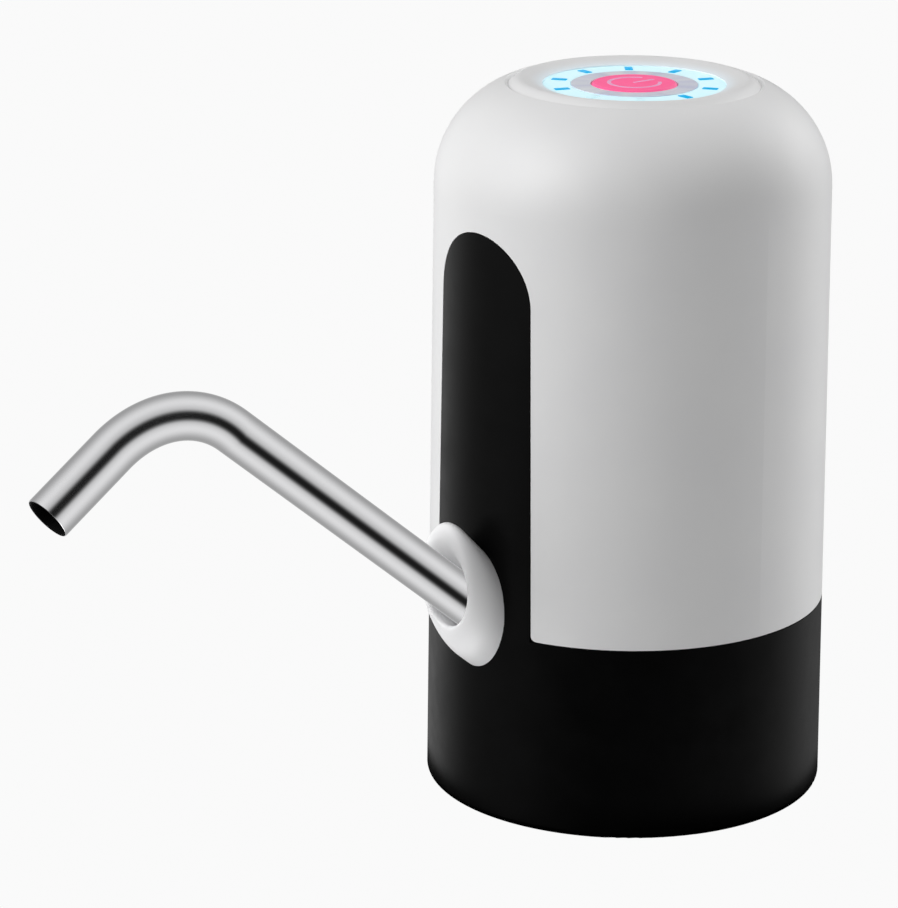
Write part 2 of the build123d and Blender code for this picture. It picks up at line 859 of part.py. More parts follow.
with BuildPart() as inlet_nipple:
    revolve(outline(nipple_points, nipple_plane), axis=nipple_axis)
inlet_nipple.part.label = "inlet_nipple"
export_step(inlet_nipple.part, "parts/inlet_nipple.step")

with BuildPart() as nipple_seal:
    with BuildSketch(Plane.XY.offset(ceiling_top)):
        with Locations((0, nipple_y)):
            Circle(nipple_flange_radius)
            Circle(nipple_body_radius + nipple_hole_gap, mode=Mode.SUBTRACT)
    extrude(amount=nipple_seal_thickness)
nipple_seal.part.label = "nipple_seal"
export_step(nipple_seal.part, "parts/nipple_seal.step")

with BuildPart() as nipple_nut:
    with BuildSketch(Plane.XY.offset(nut_bottom)):
        with Locations((0, nipple_y)):
            RegularPolygon(nut_radius, nut_sides)
            Circle(nipple_body_radius + running_gap, mode=Mode.SUBTRACT)
    extrude(amount=nut_height)
nipple_nut.part.label = "nipple_nut"
export_step(nipple_nut.part, "parts/nipple_nut.step")

# Inner frame: floor on the neck ceiling, cradles for cell and motor, three posts
motor_cradle_inner = motor_radius + sleeve_thickness + fit_gap
motor_cradle_outer = motor_cradle_inner + cradle_wall
ledge_bottom = motor_bottom - ledge_height
board_centre_y = charge_board_back - charge_board_depth / 2
charge_board_bottom = floor_top + charge_board_lift
charge_board_top = charge_board_bottom + board_thickness
standoff_x = charge_board_width / 2 - standoff_inset
standoff_y = charge_board_depth / 2 - standoff_inset
standoff_places = [(sx * standoff_x, board_centre_y - standoff_y) for sx in (-1, 1)]
floor_radius = neck_outer - frame_floor_setback

with BuildPart() as inner_frame:
    with BuildSketch(Plane.XY.offset(ceiling_top)):
        Circle(floor_radius)
        with Locations((0, nipple_y)):
            Circle(nipple_flange_radius + frame_hole_gap, mode=Mode.SUBTRACT)
        with Locations((0, elbow_y + elbow_radius + frame_hole_gap)):
            Rectangle(
                2 * (socket_radius + frame_hole_gap),
                floor_radius,
                align=(Align.CENTER, Align.MAX),
                mode=Mode.SUBTRACT,
            )
    extrude(amount=frame_floor)
    # Cell cradle, open towards the middle of the body
    with BuildSketch(Plane.XY.offset(floor_top)):
        with Locations((battery_x, battery_y)):
            Circle(cradle_outer)
            Circle(cradle_inner, mode=Mode.SUBTRACT)
        with Locations((battery_x - cradle_inner, battery_y)):
            Rectangle(cradle_inner, cradle_opening, mode=Mode.SUBTRACT)
    extrude(amount=battery_stack - lower_pad)
    # Motor cradle with an inner ledge under the can's rim
    with BuildSketch(Plane.XY.offset(floor_top)):
        with Locations((pump_x, pump_y)):
            Circle(motor_cradle_outer)
            Circle(motor_cradle_inner, mode=Mode.SUBTRACT)
    extrude(amount=motor_bottom - floor_top + cradle_rise)
    with BuildSketch(Plane.XY.offset(ledge_bottom)):
        with Locations((pump_x, pump_y)):
            Circle(motor_cradle_outer)
            Circle(motor_radius - can_wall - ledge_grip, mode=Mode.SUBTRACT)
    extrude(amount=ledge_height)
    with BuildSketch(Plane.XY.offset(floor_top)):
        with Locations((pump_x + motor_cradle_inner, pump_y + cradle_opening / 2)):
            Rectangle(motor_cradle_inner, 2 * cradle_opening)
    extrude(amount=frame_height, mode=Mode.SUBTRACT)
    # Posts, and low standoffs under the charging board
    with BuildSketch(Plane.XY.offset(floor_top)):
        with Locations(*post_places):
            Circle(post_radius)
    extrude(amount=frame_height)
    with BuildSketch(Plane.XY.offset(floor_top)):
        with Locations(*standoff_places):
            Circle(standoff_radius)
    extrude(amount=charge_board_lift)
    with BuildSketch(Plane.XY.offset(ceiling_top)):
        with Locations(*post_places):
            Circle(pilot_radius)
    extrude(amount=pilot_depth, mode=Mode.SUBTRACT)
    with BuildSketch(Plane.XY.offset(bracket_bottom)):
        with Locations(*post_places):
            Circle(pilot_radius)
    extrude(amount=-pilot_depth, mode=Mode.SUBTRACT)
inner_frame.part.label = "inner_frame"
export_step(inner_frame.part, "parts/inner_frame.step")

# Top bracket: plate screwed on the posts, over the cell and the pump head
with BuildPart() as top_bracket:
    with BuildSketch(Plane.XY.offset(bracket_bottom)):
        with Locations((battery_x, battery_y)):
            Circle(battery_radius + bracket_margin)
        with Locations((pump_x, pump_y)):
            Circle(pump_side / 2 + bracket_margin)
        with Locations(*post_places):
            Circle(post_radius + bracket_margin)
        make_hull()
        with Locations(*post_places):
            Circle(screw_radius + fit_gap, mode=Mode.SUBTRACT)
        with Locations((0, nipple_y), (0, elbow_y), (outlet_x, outlet_y), (inlet_x, inlet_y)):
            Circle(hose_radius + bracket_hose_gap, mode=Mode.SUBTRACT)
    extrude(amount=bracket_thickness)
top_bracket.part.label = "top_bracket"
export_step(top_bracket.part, "parts/top_bracket.step")


def screw_points(seat, direction, length):
    # Half outline of a round-head screw: its head stands off the seat, its shank goes in
    head = seat - direction * screw_head_height
    tip = seat + direction * length
    return [
        (0, head + direction * screw_socket_depth),
        (screw_socket_radius, head + direction * screw_socket_depth),
        (screw_socket_radius, head),
        (screw_head_radius, head),
        (screw_head_radius, seat),
        (screw_radius, seat),
        (screw_radius, tip - direction * screw_radius),
        (0, tip),
    ]


# Screws: they hold the frame on the ceiling and the bracket on the posts
with BuildPart() as base_screws:
    for x, y in post_places:
        revolve(
            outline(screw_points(neck_depth + screw_head_height, 1, screw_length), upright(x, y)),
            axis=Axis((x, y, 0), (0, 0, 1)),
        )
base_screws.part.label = "base_screws"
export_step(base_screws.part, "parts/base_screws.step")

with BuildPart() as bracket_screws:
    for x, y in post_places:
        revolve(
            outline(screw_points(bracket_top, -1, screw_length), upright(x, y)),
            axis=Axis((x, y, 0), (0, 0, 1)),
        )
bracket_screws.part.label = "bracket_screws"
export_step(bracket_screws.part, "parts/bracket_screws.step")

# Cell, with its crimp groove and top nub
cell_bottom = floor_top + lower_pad + tab_thickness
cell_top = cell_bottom + battery_length
crimp = cell_top - battery_nub_height - battery_crimp_drop

with BuildPart() as battery_cell:
    cell_points = [
        (0, cell_bottom),
        (battery_radius, cell_bottom),
        (battery_radius, crimp - battery_crimp_half),
        (battery_radius - battery_crimp_depth, crimp),
        (battery_radius, crimp + battery_crimp_half),
        (battery_radius, cell_top - battery_nub_height),
        (battery_nub_radius, cell_top - battery_nub_height),
        (battery_nub_radius, cell_top),
        (0, cell_top),
    ]
    revolve(outline(cell_points, battery_plane), axis=battery_axis)
battery_cell.part.label = "battery_cell"
export_step(battery_cell.part, "parts/battery_cell.step")

with BuildPart() as battery_tabs:
    for tab_bottom in (cell_bottom - tab_thickness, cell_top):
        with BuildSketch(Plane.XY.offset(tab_bottom)):
            with Locations((battery_x + tab_width / 2, battery_y)):
                Rectangle(tab_reach + tab_width / 2, tab_width, align=(Align.MAX, Align.CENTER))
        extrude(amount=tab_thickness)
battery_tabs.part.label = "battery_tabs"
export_step(battery_tabs.part, "parts/battery_tabs.step")

with BuildPart() as battery_pads:
    upper_pad_bottom = cell_top + tab_thickness
    upper_pad_height = bracket_bottom - upper_pad_bottom
    for pad_bottom, pad_thickness in ((floor_top, lower_pad), (upper_pad_bottom, upper_pad_height)):
        with BuildSketch(Plane.XY.offset(pad_bottom)):
            with Locations((battery_x, battery_y)):
                Circle(battery_radius)
                Circle(pad_hole_radius, mode=Mode.SUBTRACT)
        extrude(amount=pad_thickness)
battery_pads.part.label = "battery_pads"
export_step(battery_pads.part, "parts/battery_pads.step")

# Motor can: drawn steel cup with a bearing boss, open at the bottom
boss_top = motor_top + boss_height
can_inner = motor_radius - can_wall

with BuildPart() as motor_can:
    can_points = [
        (can_inner, motor_bottom),
        (motor_radius, motor_bottom),
        (motor_radius, motor_top - can_edge_round),
        (motor_radius - can_edge_round, motor_top),
        (boss_radius, motor_top),
        (boss_radius, boss_top),
        (bush_radius, boss_top),
        (bush_radius, motor_top - can_face),
        (can_inner, motor_top - can_face),
    ]
    revolve(outline(can_points, pump_plane), axis=pump_axis)
    with BuildSketch(Plane.XY.offset(motor_top)):
        with Locations((pump_x, pump_y)):
            with PolarLocations(motor_screw_circle_radius, motor_screw_count):
                Circle(screw_radius + fit_gap)
    extrude(amount=-can_face - overrun, mode=Mode.SUBTRACT)
motor_can.part.label = "motor_can"
export_step(motor_can.part, "parts/motor_can.step")

# Motor end cap, moulded, with slots for the terminals
cap_top = motor_bottom + end_cap_thickness

with BuildPart() as motor_end_cap:
    with BuildSketch(Plane.XY.offset(motor_bottom)):
        with Locations((pump_x, pump_y)):
            Circle(can_inner)
            Circle(bush_radius, mode=Mode.SUBTRACT)
            with PolarLocations(terminal_circle_radius, 2):
                Rectangle(terminal_thickness + fit_gap, terminal_width + fit_gap, mode=Mode.SUBTRACT)
    extrude(amount=end_cap_thickness)
motor_end_cap.part.label = "motor_end_cap"
export_step(motor_end_cap.part, "parts/motor_end_cap.step")

with BuildPart() as motor_terminals:
    with BuildSketch(Plane.XY.offset(motor_bottom - terminal_length)):
        with Locations((pump_x, pump_y)):
            with PolarLocations(terminal_circle_radius, 2):
                Rectangle(terminal_thickness, terminal_width)
    extrude(amount=terminal_length + end_cap_thickness)
motor_terminals.part.label = "motor_terminals"
export_step(motor_terminals.part, "parts/motor_terminals.step")

# Motor bushes: one in the can's boss, one in the end cap
with BuildPart() as motor_bushes:
    for bush_bottom in (boss_top - bush_length, motor_bottom):
        with BuildSketch(Plane.XY.offset(bush_bottom)):
            with Locations((pump_x, pump_y)):
                Circle(bush_radius)
                Circle(shaft_radius + running_gap, mode=Mode.SUBTRACT)
        extrude(amount=bush_length)
motor_bushes.part.label = "motor_bushes"
export_step(motor_bushes.part, "parts/motor_bushes.step")

# Motor magnets: two arcs inside the can
magnet_inner = can_inner - magnet_thickness
magnet_gap_half = can_inner * tan(radians((180 - magnet_sweep) / 2))

with BuildPart() as motor_magnets:
    with BuildSketch(Plane.XY.offset(motor_bottom + magnet_inset)):
        with Locations((pump_x, pump_y)):
            Circle(can_inner)
            Circle(magnet_inner, mode=Mode.SUBTRACT)
            Rectangle(2 * magnet_gap_half, 2 * motor_radius, mode=Mode.SUBTRACT)
    extrude(amount=magnet_length)
motor_magnets.part.label = "motor_magnets"
export_step(motor_magnets.part, "parts/motor_magnets.step")

# Motor brushes: two springy blocks beside the commutator, on the end cap
brush_start = commutator_radius + brush_gap

with BuildPart() as motor_brushes:
    with BuildSketch(Plane.XY.offset(cap_top)):
        with Locations((pump_x, pump_y)):
            with PolarLocations(brush_start + brush_length / 2, 2):
                Rectangle(brush_length, brush_width)
    extrude(amount=brush_height)
motor_brushes.part.label = "motor_brushes"
export_step(motor_brushes.part, "parts/motor_brushes.step")

# Rotor: shaft, three-pole core, coils and commutator
eccentric_bottom = motor_top + eccentric_lift
shaft_top = eccentric_bottom + shaft_grip
rotor_radius = magnet_inner - air_gap
core_bottom = motor_bottom + core_inset

with BuildPart() as motor_shaft:
    with BuildSketch(Plane.XY.offset(motor_bottom)):
        with Locations((pump_x, pump_y)):
            Circle(shaft_radius)
    extrude(amount=shaft_top - motor_bottom)
motor_shaft.part.label = "motor_shaft"
export_step(motor_shaft.part, "parts/motor_shaft.step")

shoe_inner = rotor_radius - pole_shoe
slot_sweep = 360 / pole_count - pole_sweep
slot_width = 2 * rotor_radius * sin(radians(slot_sweep / 2))

with BuildPart() as rotor_core:
    with BuildSketch(Plane.XY.offset(core_bottom)):
        with Locations((pump_x, pump_y)):
            Circle(rotor_radius)
            Circle(shoe_inner, mode=Mode.SUBTRACT)
            with PolarLocations(rotor_radius, pole_count, start_angle=180 / pole_count):
                Rectangle(rotor_radius, slot_width, mode=Mode.SUBTRACT)
            with PolarLocations(shoe_inner / 2, pole_count):
                Rectangle(shoe_inner + pole_shoe / 2, pole_arm)
            Circle(core_hub_radius)
            Circle(shaft_radius, mode=Mode.SUBTRACT)
    extrude(amount=core_length)
rotor_core.part.label = "rotor_core"
export_step(rotor_core.part, "parts/rotor_core.step")

coil_length = shoe_inner - coil_gap - coil_start

with BuildPart() as rotor_windings:
    with BuildSketch(Plane.XY.offset(core_bottom - coil_overhang)):
        with Locations((pump_x, pump_y)):
            with PolarLocations(coil_start + coil_length / 2, pole_count):
                Rectangle(coil_length, coil_width)
    extrude(amount=core_length + 2 * coil_overhang)
    with BuildSketch(Plane.XY.offset(core_bottom - coil_gap)):
        with Locations((pump_x, pump_y)):
            with PolarLocations(shoe_inner / 2, pole_count):
                Rectangle(2 * shoe_inner, pole_arm + 2 * coil_gap)
    extrude(amount=core_length + 2 * coil_gap, mode=Mode.SUBTRACT)
    with BuildSketch(Plane.XY.offset(core_bottom - coil_overhang)):
        with Locations((pump_x, pump_y)):
            Circle(motor_radius)
            Circle(shoe_inner - coil_gap, mode=Mode.SUBTRACT)
    extrude(amount=core_length + 2 * coil_overhang, mode=Mode.SUBTRACT)
rotor_windings.part.label = "rotor_windings"
export_step(rotor_windings.part, "parts/rotor_windings.step")

with BuildPart() as commutator:
    with BuildSketch(Plane.XY.offset(motor_bottom + commutator_inset)):
        with Locations((pump_x, pump_y)):
            Circle(commutator_radius)
            Circle(shaft_radius, mode=Mode.SUBTRACT)
    extrude(amount=core_bottom - motor_bottom - commutator_inset)
commutator.part.label = "commutator"
export_step(commutator.part, "parts/commutator.step")

# Motor sleeve: soft band between the motor and its cradle
with BuildPart() as motor_sleeve:
    with BuildSketch(Plane.XY.offset(motor_bottom + sleeve_inset)):
        with Locations((pump_x, pump_y)):
            Circle(motor_radius + sleeve_thickness)
            Circle(motor_radius, mode=Mode.SUBTRACT)
    extrude(amount=sleeve_height)
motor_sleeve.part.label = "motor_sleeve"
export_step(motor_sleeve.part, "parts/motor_sleeve.step")


def pump_block(bottom):
    # Square outline of the pump head, at a height
    with BuildSketch(Plane.XY.offset(bottom)) as block:
        with Locations((pump_x, pump_y)):
            RectangleRounded(pump_side, pump_side, pump_corner)
    return block.sketch


def pump_holes(bottom, radius):
    # The four long screws' places, at a height
    with BuildSketch(Plane.XY.offset(bottom)) as holes:
        with Locations(*[(pump_x + x, pump_y + y) for x, y in screw_corners]):
            Circle(radius)
    return holes.sketch


# Pump housing: open box on the motor's face, round inside
with BuildPart() as pump_housing:
    extrude(pump_block(motor_top), amount=housing_height)
    with BuildSketch(Plane.XY.offset(motor_top + housing_floor)):
        with Locations((pump_x, pump_y)):
            Circle(housing_bore_radius)
    extrude(amount=housing_height, mode=Mode.SUBTRACT)
    with BuildSketch(Plane.XY.offset(motor_top)):
        with Locations((pump_x, pump_y)):
            Circle(boss_radius + fit_gap)
            with PolarLocations(motor_screw_circle_radius, motor_screw_count):
                Circle(screw_radius + fit_gap)
    extrude(amount=housing_floor, mode=Mode.SUBTRACT)
    extrude(pump_holes(housing_top, screw_radius + fit_gap), amount=-pilot_depth, mode=Mode.SUBTRACT)
pump_housing.part.label = "pump_housing"
export_step(pump_housing.part, "parts/pump_housing.step")

with BuildPart() as motor_screws:
    for turn in range(motor_screw_count):
        offset_x, offset_y = polar(motor_screw_circle_radius, turn * 360 / motor_screw_count)
        seat = motor_top + housing_floor
        revolve(
            outline(
                screw_points(seat, -1, housing_floor + motor_screw_depth),
                upright(pump_x + offset_x, pump_y + offset_y),
            ),
            axis=Axis((pump_x + offset_x, pump_y + offset_y, 0), (0, 0, 1)),
        )
motor_screws.part.label = "motor_screws"
export_step(motor_screws.part, "parts/motor_screws.step")

# Wobble drive: the eccentric carries a tilted pin, and the plate nods about its pivot
tilt = radians(wobble_tilt)
plate_pivot = housing_top - plate_pivot_drop
eccentric_top = eccentric_bottom + eccentric_height
pin_direction = (-sin(tilt), 0, cos(tilt))
pin_plane = Plane(origin=(pump_x, pump_y, plate_pivot), x_dir=(cos(tilt), 0, sin(tilt)), z_dir=pin_direction)
pin_section = Plane(origin=pin_plane.origin, x_dir=pin_plane.x_dir, z_dir=(0, -1, 0))
pin_axis = Axis(pin_plane.origin, pin_direction)
pin_foot = (plate_pivot - eccentric_top + pin_grip) / cos(tilt)
hub_bottom = plate_thickness / 2 - plate_hub_height

with BuildPart() as eccentric_wheel:
    with BuildSketch(Plane.XY.offset(eccentric_bottom)):
        with Locations((pump_x, pump_y)):
            Circle(eccentric_radius)
    extrude(amount=eccentric_height)
    with BuildSketch(Plane.XY.offset(eccentric_bottom)):
        with Locations((pump_x, pump_y)):
            Circle(shaft_radius)
    extrude(amount=shaft_grip, mode=Mode.SUBTRACT)
    with BuildSketch(pin_plane.offset(-pin_foot)):
        Circle(pin_radius)
    extrude(amount=pin_foot, mode=Mode.SUBTRACT)
eccentric_wheel.part.label = "eccentric_wheel"
export_step(eccentric_wheel.part, "parts/eccentric_wheel.step")

with BuildPart() as wobble_pin:
    with BuildSketch(pin_plane.offset(-pin_foot)):
        Circle(pin_radius)
    extrude(amount=pin_foot)
wobble_pin.part.label = "wobble_pin"
export_step(wobble_pin.part, "parts/wobble_pin.step")

with BuildPart() as wobble_plate:
    with BuildSketch(pin_plane.offset(-plate_thickness / 2)):
        with PolarLocations(plate_arm_circle_radius / 2, pole_count):
            Rectangle(plate_arm_circle_radius, 2 * plate_arm_radius)
        with PolarLocations(plate_arm_circle_radius, pole_count):
            Circle(plate_arm_radius)
        Circle(plate_hub_radius)
    extrude(amount=plate_thickness)
    with BuildSketch(pin_plane.offset(hub_bottom)):
        Circle(plate_hub_radius)
    extrude(amount=plate_hub_height)
    with BuildSketch(pin_plane.offset(hub_bottom)):
        Circle(pin_radius + running_gap)
    extrude(amount=-hub_bottom + seal_gap, mode=Mode.SUBTRACT)
wobble_plate.part.label = "wobble_plate"
export_step(wobble_plate.part, "parts/wobble_plate.step")


# The three chambers sit over the wobble plate's arms
chamber_bearings = [turn * 360 / pole_count for turn in range(pole_count)]
chamber_places = [
    (pump_x + polar(plate_arm_circle_radius, bearing)[0], pump_y + polar(plate_arm_circle_radius, bearing)[1])
    for bearing in chamber_bearings
]


# Diaphragm: rubber sheet with three hanging cups, clamped on the housing
with BuildPart() as diaphragm:
    extrude(pump_block(housing_top), amount=diaphragm_thickness)
    with BuildSketch(Plane.XY.offset(housing_top - cup_depth)):
        with Locations(*chamber_places):
            Circle(cup_radius)
    extrude(amount=cup_depth)
    with BuildSketch(Plane.XY.offset(housing_top - cup_depth + cup_wall)):
        with Locations(*chamber_places):
            Circle(cup_radius - cup_wall)
    extrude(amount=cup_depth + diaphragm_thickness, mode=Mode.SUBTRACT)
    extrude(
        pump_holes(housing_top, screw_radius + fit_gap),
        amount=diaphragm_thickness,
        mode=Mode.SUBTRACT,
    )
diaphragm.part.label = "diaphragm"
export_step(diaphragm.part, "parts/diaphragm.step")

# Valve plate: a stem hole and two ports over each chamber, and the outlet in the middle
with BuildPart() as valve_plate:
    extrude(pump_block(valve_bottom), amount=valve_thickness)
    with BuildSketch(Plane.XY.offset(valve_bottom)):
        with Locations(*chamber_places):
            Circle(valve_stem_radius)
        for x, y in chamber_places:
            with Locations((x, y + port_circle_radius), (x, y - port_circle_radius)):
                Circle(port_radius / 2)
        with Locations((pump_x, pump_y)):
            Circle(valve_stem_radius)
            with PolarLocations(port_circle_radius + port_radius, pole_count):
                Circle(port_radius)
    extrude(amount=valve_thickness, mode=Mode.SUBTRACT)
    extrude(pump_holes(valve_bottom, screw_radius + fit_gap), amount=valve_thickness, mode=Mode.SUBTRACT)
valve_plate.part.label = "valve_plate"
export_step(valve_plate.part, "parts/valve_plate.step")

# Check valves: three rubber umbrellas below the plate, one above it
with BuildPart() as check_valves:
    with BuildSketch(Plane.XY.offset(valve_bottom - valve_disc_thickness)):
        with Locations(*chamber_places):
            Circle(valve_disc_radius)
    extrude(amount=valve_disc_thickness)
    with BuildSketch(Plane.XY.offset(cover_bottom)):
        with Locations((pump_x, pump_y)):
            Circle(outlet_valve_radius)
    extrude(amount=valve_disc_thickness)
    with BuildSketch(Plane.XY.offset(valve_bottom)):
        with Locations((pump_x, pump_y), *chamber_places):
            Circle(valve_stem_radius)
    extrude(amount=valve_thickness)
check_valves.part.label = "check_valves"
export_step(check_valves.part, "parts/check_valves.step")

# Pump cover: two chambers inside, two barbed nozzles on top
nozzle_root = bracket_bottom + bracket_thickness + nozzle_root_height
nozzle_tip = nozzle_root + hose_grip

with BuildPart() as pump_cover:
    extrude(pump_block(cover_bottom), amount=cover_height)
    with BuildSketch(Plane.XY.offset(cover_bottom)):
        with Locations((pump_x, pump_y)):
            Circle(inlet_chamber_radius)
            Circle(outlet_chamber_radius + cover_wall, mode=Mode.SUBTRACT)
            Circle(outlet_chamber_radius)
    extrude(amount=cover_height - cover_roof, mode=Mode.SUBTRACT)
    for nozzle_x, nozzle_y in ((outlet_x, outlet_y), (inlet_x, inlet_y)):
        with BuildSketch(Plane.XY.offset(cover_bottom + cover_height)):
            with Locations((nozzle_x, nozzle_y)):
                Circle(barb_core_radius)
        extrude(amount=nozzle_root - cover_bottom - cover_height)
        revolve(
            outline(barbs(nozzle_root), upright(nozzle_x, nozzle_y)),
            axis=Axis((nozzle_x, nozzle_y, 0), (0, 0, 1)),
        )
        with BuildSketch(Plane.XY.offset(cover_bottom + cover_height - cover_roof)):
            with Locations((nozzle_x, nozzle_y)):
                Circle(barb_bore_radius)
        extrude(amount=nozzle_tip - cover_bottom, mode=Mode.SUBTRACT)
    extrude(pump_holes(cover_bottom, screw_radius + fit_gap), amount=cover_height, mode=Mode.SUBTRACT)
    extrude(
        pump_holes(bracket_bottom, screw_head_radius + fit_gap),
        amount=-screw_head_height,
        mode=Mode.SUBTRACT,
    )
pump_cover.part.label = "pump_cover"
export_step(pump_cover.part, "parts/pump_cover.step")

# Pump screws: four long ones that clamp cover, plate and diaphragm on the housing
clamp_seat = bracket_bottom - screw_head_height

with BuildPart() as pump_screws:
    for x, y in screw_corners:
        revolve(
            outline(
                screw_points(clamp_seat, -1, clamp_seat - housing_top + pilot_depth - screw_radius),
                upright(pump_x + x, pump_y + y),
            ),
            axis=Axis((pump_x + x, pump_y + y, 0), (0, 0, 1)),
        )
pump_screws.part.label = "pump_screws"
export_step(pump_screws.part, "parts/pump_screws.step")

# Hoses: from the nipple up and over to the inlet, from the outlet down to the socket
hose_runs = {
    "inlet_hose": [(0, nipple_y, flange_top), (inlet_x, inlet_y, nozzle_root)],
    "outlet_hose": [(0, elbow_y, barb_root), (outlet_x, outlet_y, nozzle_root)],
}


def hose_route(name):
    # Up from one barb, level across, down on to the other
    (x0, y0, z0), (x1, y1, z1) = hose_runs[name]
    return [(x0, y0, z0), (x0, y0, hose_crown), (x1, y1, hose_crown), (x1, y1, z1)]


with BuildPart() as inlet_hose:
    with BuildLine() as inlet_path:
        FilletPolyline(*hose_route("inlet_hose"), radius=hose_bend_radius)
    with BuildSketch(Plane.XY.offset(flange_top)):
        with Locations((0, nipple_y)):
            Circle(hose_radius)
            Circle(hose_bore_radius, mode=Mode.SUBTRACT)
    sweep(path=inlet_path.wire())
inlet_hose.part.label = "inlet_hose"
export_step(inlet_hose.part, "parts/inlet_hose.step")

with BuildPart() as outlet_hose:
    with BuildLine() as outlet_path:
        FilletPolyline(*hose_route("outlet_hose"), radius=hose_bend_radius)
    with BuildSketch(Plane.XY.offset(barb_root)):
        with Locations((0, elbow_y)):
            Circle(hose_radius)
            Circle(hose_bore_radius, mode=Mode.SUBTRACT)
    sweep(path=outlet_path.wire())
outlet_hose.part.label = "outlet_hose"
export_step(outlet_hose.part, "parts/outlet_hose.step")

# Hose clips: a flat spring ring with two ears round each hose end
clip_places = [(x, y, z + clip_setback) for run in hose_runs.values() for x, y, z in run]
clip_radius = hose_radius + 2 * clip_wire_radius

with BuildPart() as hose_clips:
    for x, y, z in clip_places:
        with BuildSketch(Plane.XY.offset(z)):
            with Locations((x, y)):
                Circle(clip_radius)
                Rectangle(clip_radius + clip_ear, 3 * clip_wire_radius, align=(Align.MIN, Align.CENTER))
                Circle(hose_radius, mode=Mode.SUBTRACT)
                Rectangle(
                    clip_radius + clip_ear,
                    clip_wire_radius,
                    align=(Align.MIN, Align.CENTER),
                    mode=Mode.SUBTRACT,
                )
        extrude(amount=2 * clip_wire_radius)
hose_clips.part.label = "hose_clips"
export_step(hose_clips.part, "parts/hose_clips.step")

# Charging board with its socket and chips
with BuildPart() as charge_board:
    with BuildSketch(Plane.XY.offset(charge_board_bottom)):
        with Locations((0, board_centre_y)):
            Rectangle(charge_board_width, charge_board_depth)
    extrude(amount=board_thickness)
charge_board.part.label = "charge_board"
export_step(charge_board.part, "parts/charge_board.step")

with BuildPart() as charge_socket:
    with BuildSketch(Plane.XZ.offset(-usb_front)):
        with Locations((0, port_height)):
            RectangleRounded(usb_width, usb_height, usb_corner)
    extrude(amount=usb_depth)
    with BuildSketch(Plane.XZ.offset(-usb_front)):
        with Locations((0, port_height)):
            RectangleRounded(usb_width - 2 * usb_wall, usb_height - 2 * usb_wall, usb_corner - usb_wall)
    extrude(amount=usb_depth - usb_wall, mode=Mode.SUBTRACT)
charge_socket.part.label = "charge_socket"
export_step(charge_socket.part, "parts/charge_socket.step")

with BuildPart() as charge_contacts:
    with BuildSketch(Plane.XZ.offset(usb_depth - usb_wall - usb_front)):
        with Locations((0, port_height)):
            Rectangle(usb_tongue_width, usb_tongue_thickness)
    extrude(amount=usb_tongue_setback + usb_wall - usb_depth)
charge_contacts.part.label = "charge_contacts"
export_step(charge_contacts.part, "parts/charge_contacts.step")

with BuildPart() as charge_chips:
    for (width, depth), (x, y) in zip(chip_sizes, chip_places):
        with BuildSketch(Plane.XY.offset(charge_board_top)):
            with Locations((x, board_centre_y + y)):
                Rectangle(width, depth)
        extrude(amount=chip_height)
charge_chips.part.label = "charge_chips"
export_step(charge_chips.part, "parts/charge_chips.step")

# Button board under the crown, with its screws, switch and lamps
with BuildPart() as button_board:
    with BuildSketch(Plane.XY.offset(board_bottom)):
        Circle(button_board_radius)
        with PolarLocations(board_boss_circle_radius, board_boss_count, start_angle=-90):
            Circle(screw_radius + fit_gap, mode=Mode.SUBTRACT)
    extrude(amount=button_board_thickness)
button_board.part.label = "button_board"
export_step(button_board.part, "parts/button_board.step")

with BuildPart() as board_screws:
    for turn in range(board_boss_count):
        x, y = polar(board_boss_circle_radius, turn * 360 / board_boss_count - 90)
        revolve(
            outline(
                screw_points(board_bottom, 1, board_screw_length),
                upright(x, y),
            ),
            axis=Axis((x, y, 0), (0, 0, 1)),
        )
board_screws.part.label = "board_screws"
export_step(board_screws.part, "parts/board_screws.step")

switch_top = board_top + switch_height
plunger_top = switch_top + plunger_rise

with BuildPart() as tact_switch:
    with BuildSketch(Plane.XY.offset(board_top)):
        Rectangle(switch_side, switch_side)
    extrude(amount=switch_height)
    with BuildSketch(Plane.XY.offset(switch_top)):
        Circle(plunger_radius + fit_gap)
    extrude(amount=-plunger_hole_depth, mode=Mode.SUBTRACT)
tact_switch.part.label = "tact_switch"
export_step(tact_switch.part, "parts/tact_switch.step")

with BuildPart() as switch_plunger:
    with BuildSketch(Plane.XY.offset(switch_top - plunger_hole_depth + plunger_foot_gap)):
        Circle(plunger_radius)
    extrude(amount=plunger_top - switch_top + plunger_hole_depth - plunger_foot_gap)
switch_plunger.part.label = "switch_plunger"
export_step(switch_plunger.part, "parts/switch_plunger.step")

with BuildPart() as indicator_leds:
    with BuildSketch(Plane.XY.offset(board_top)):
        with PolarLocations(led_circle_radius, led_count, start_angle=led_bearing):
            Rectangle(led_length, led_width)
    extrude(amount=led_height)
indicator_leds.part.label = "indicator_leds"
export_step(indicator_leds.part, "parts/indicator_leds.step")

# Light ring: diffuser in the well, with a flange and a skirt under the crown
ring_top = groove_height - ring_drop
light_flange = crown_under - light_flange_thickness
light_points = [
    (light_ring_inner, light_flange),
    (light_skirt_radius - light_skirt_wall, light_flange),
    (light_skirt_radius - light_skirt_wall, board_top),
    (light_skirt_radius, board_top),
    (light_skirt_radius, crown_under),
    (well_radius - light_ring_gap, crown_under),
    (well_radius - light_ring_gap, ring_top),
    (light_ring_inner, ring_top),
]

with BuildPart() as light_ring:
    revolve(outline(light_points, Plane.XZ), axis=Axis.Z)
light_ring.part.label = "light_ring"
export_step(light_ring.part, "parts/light_ring.step")

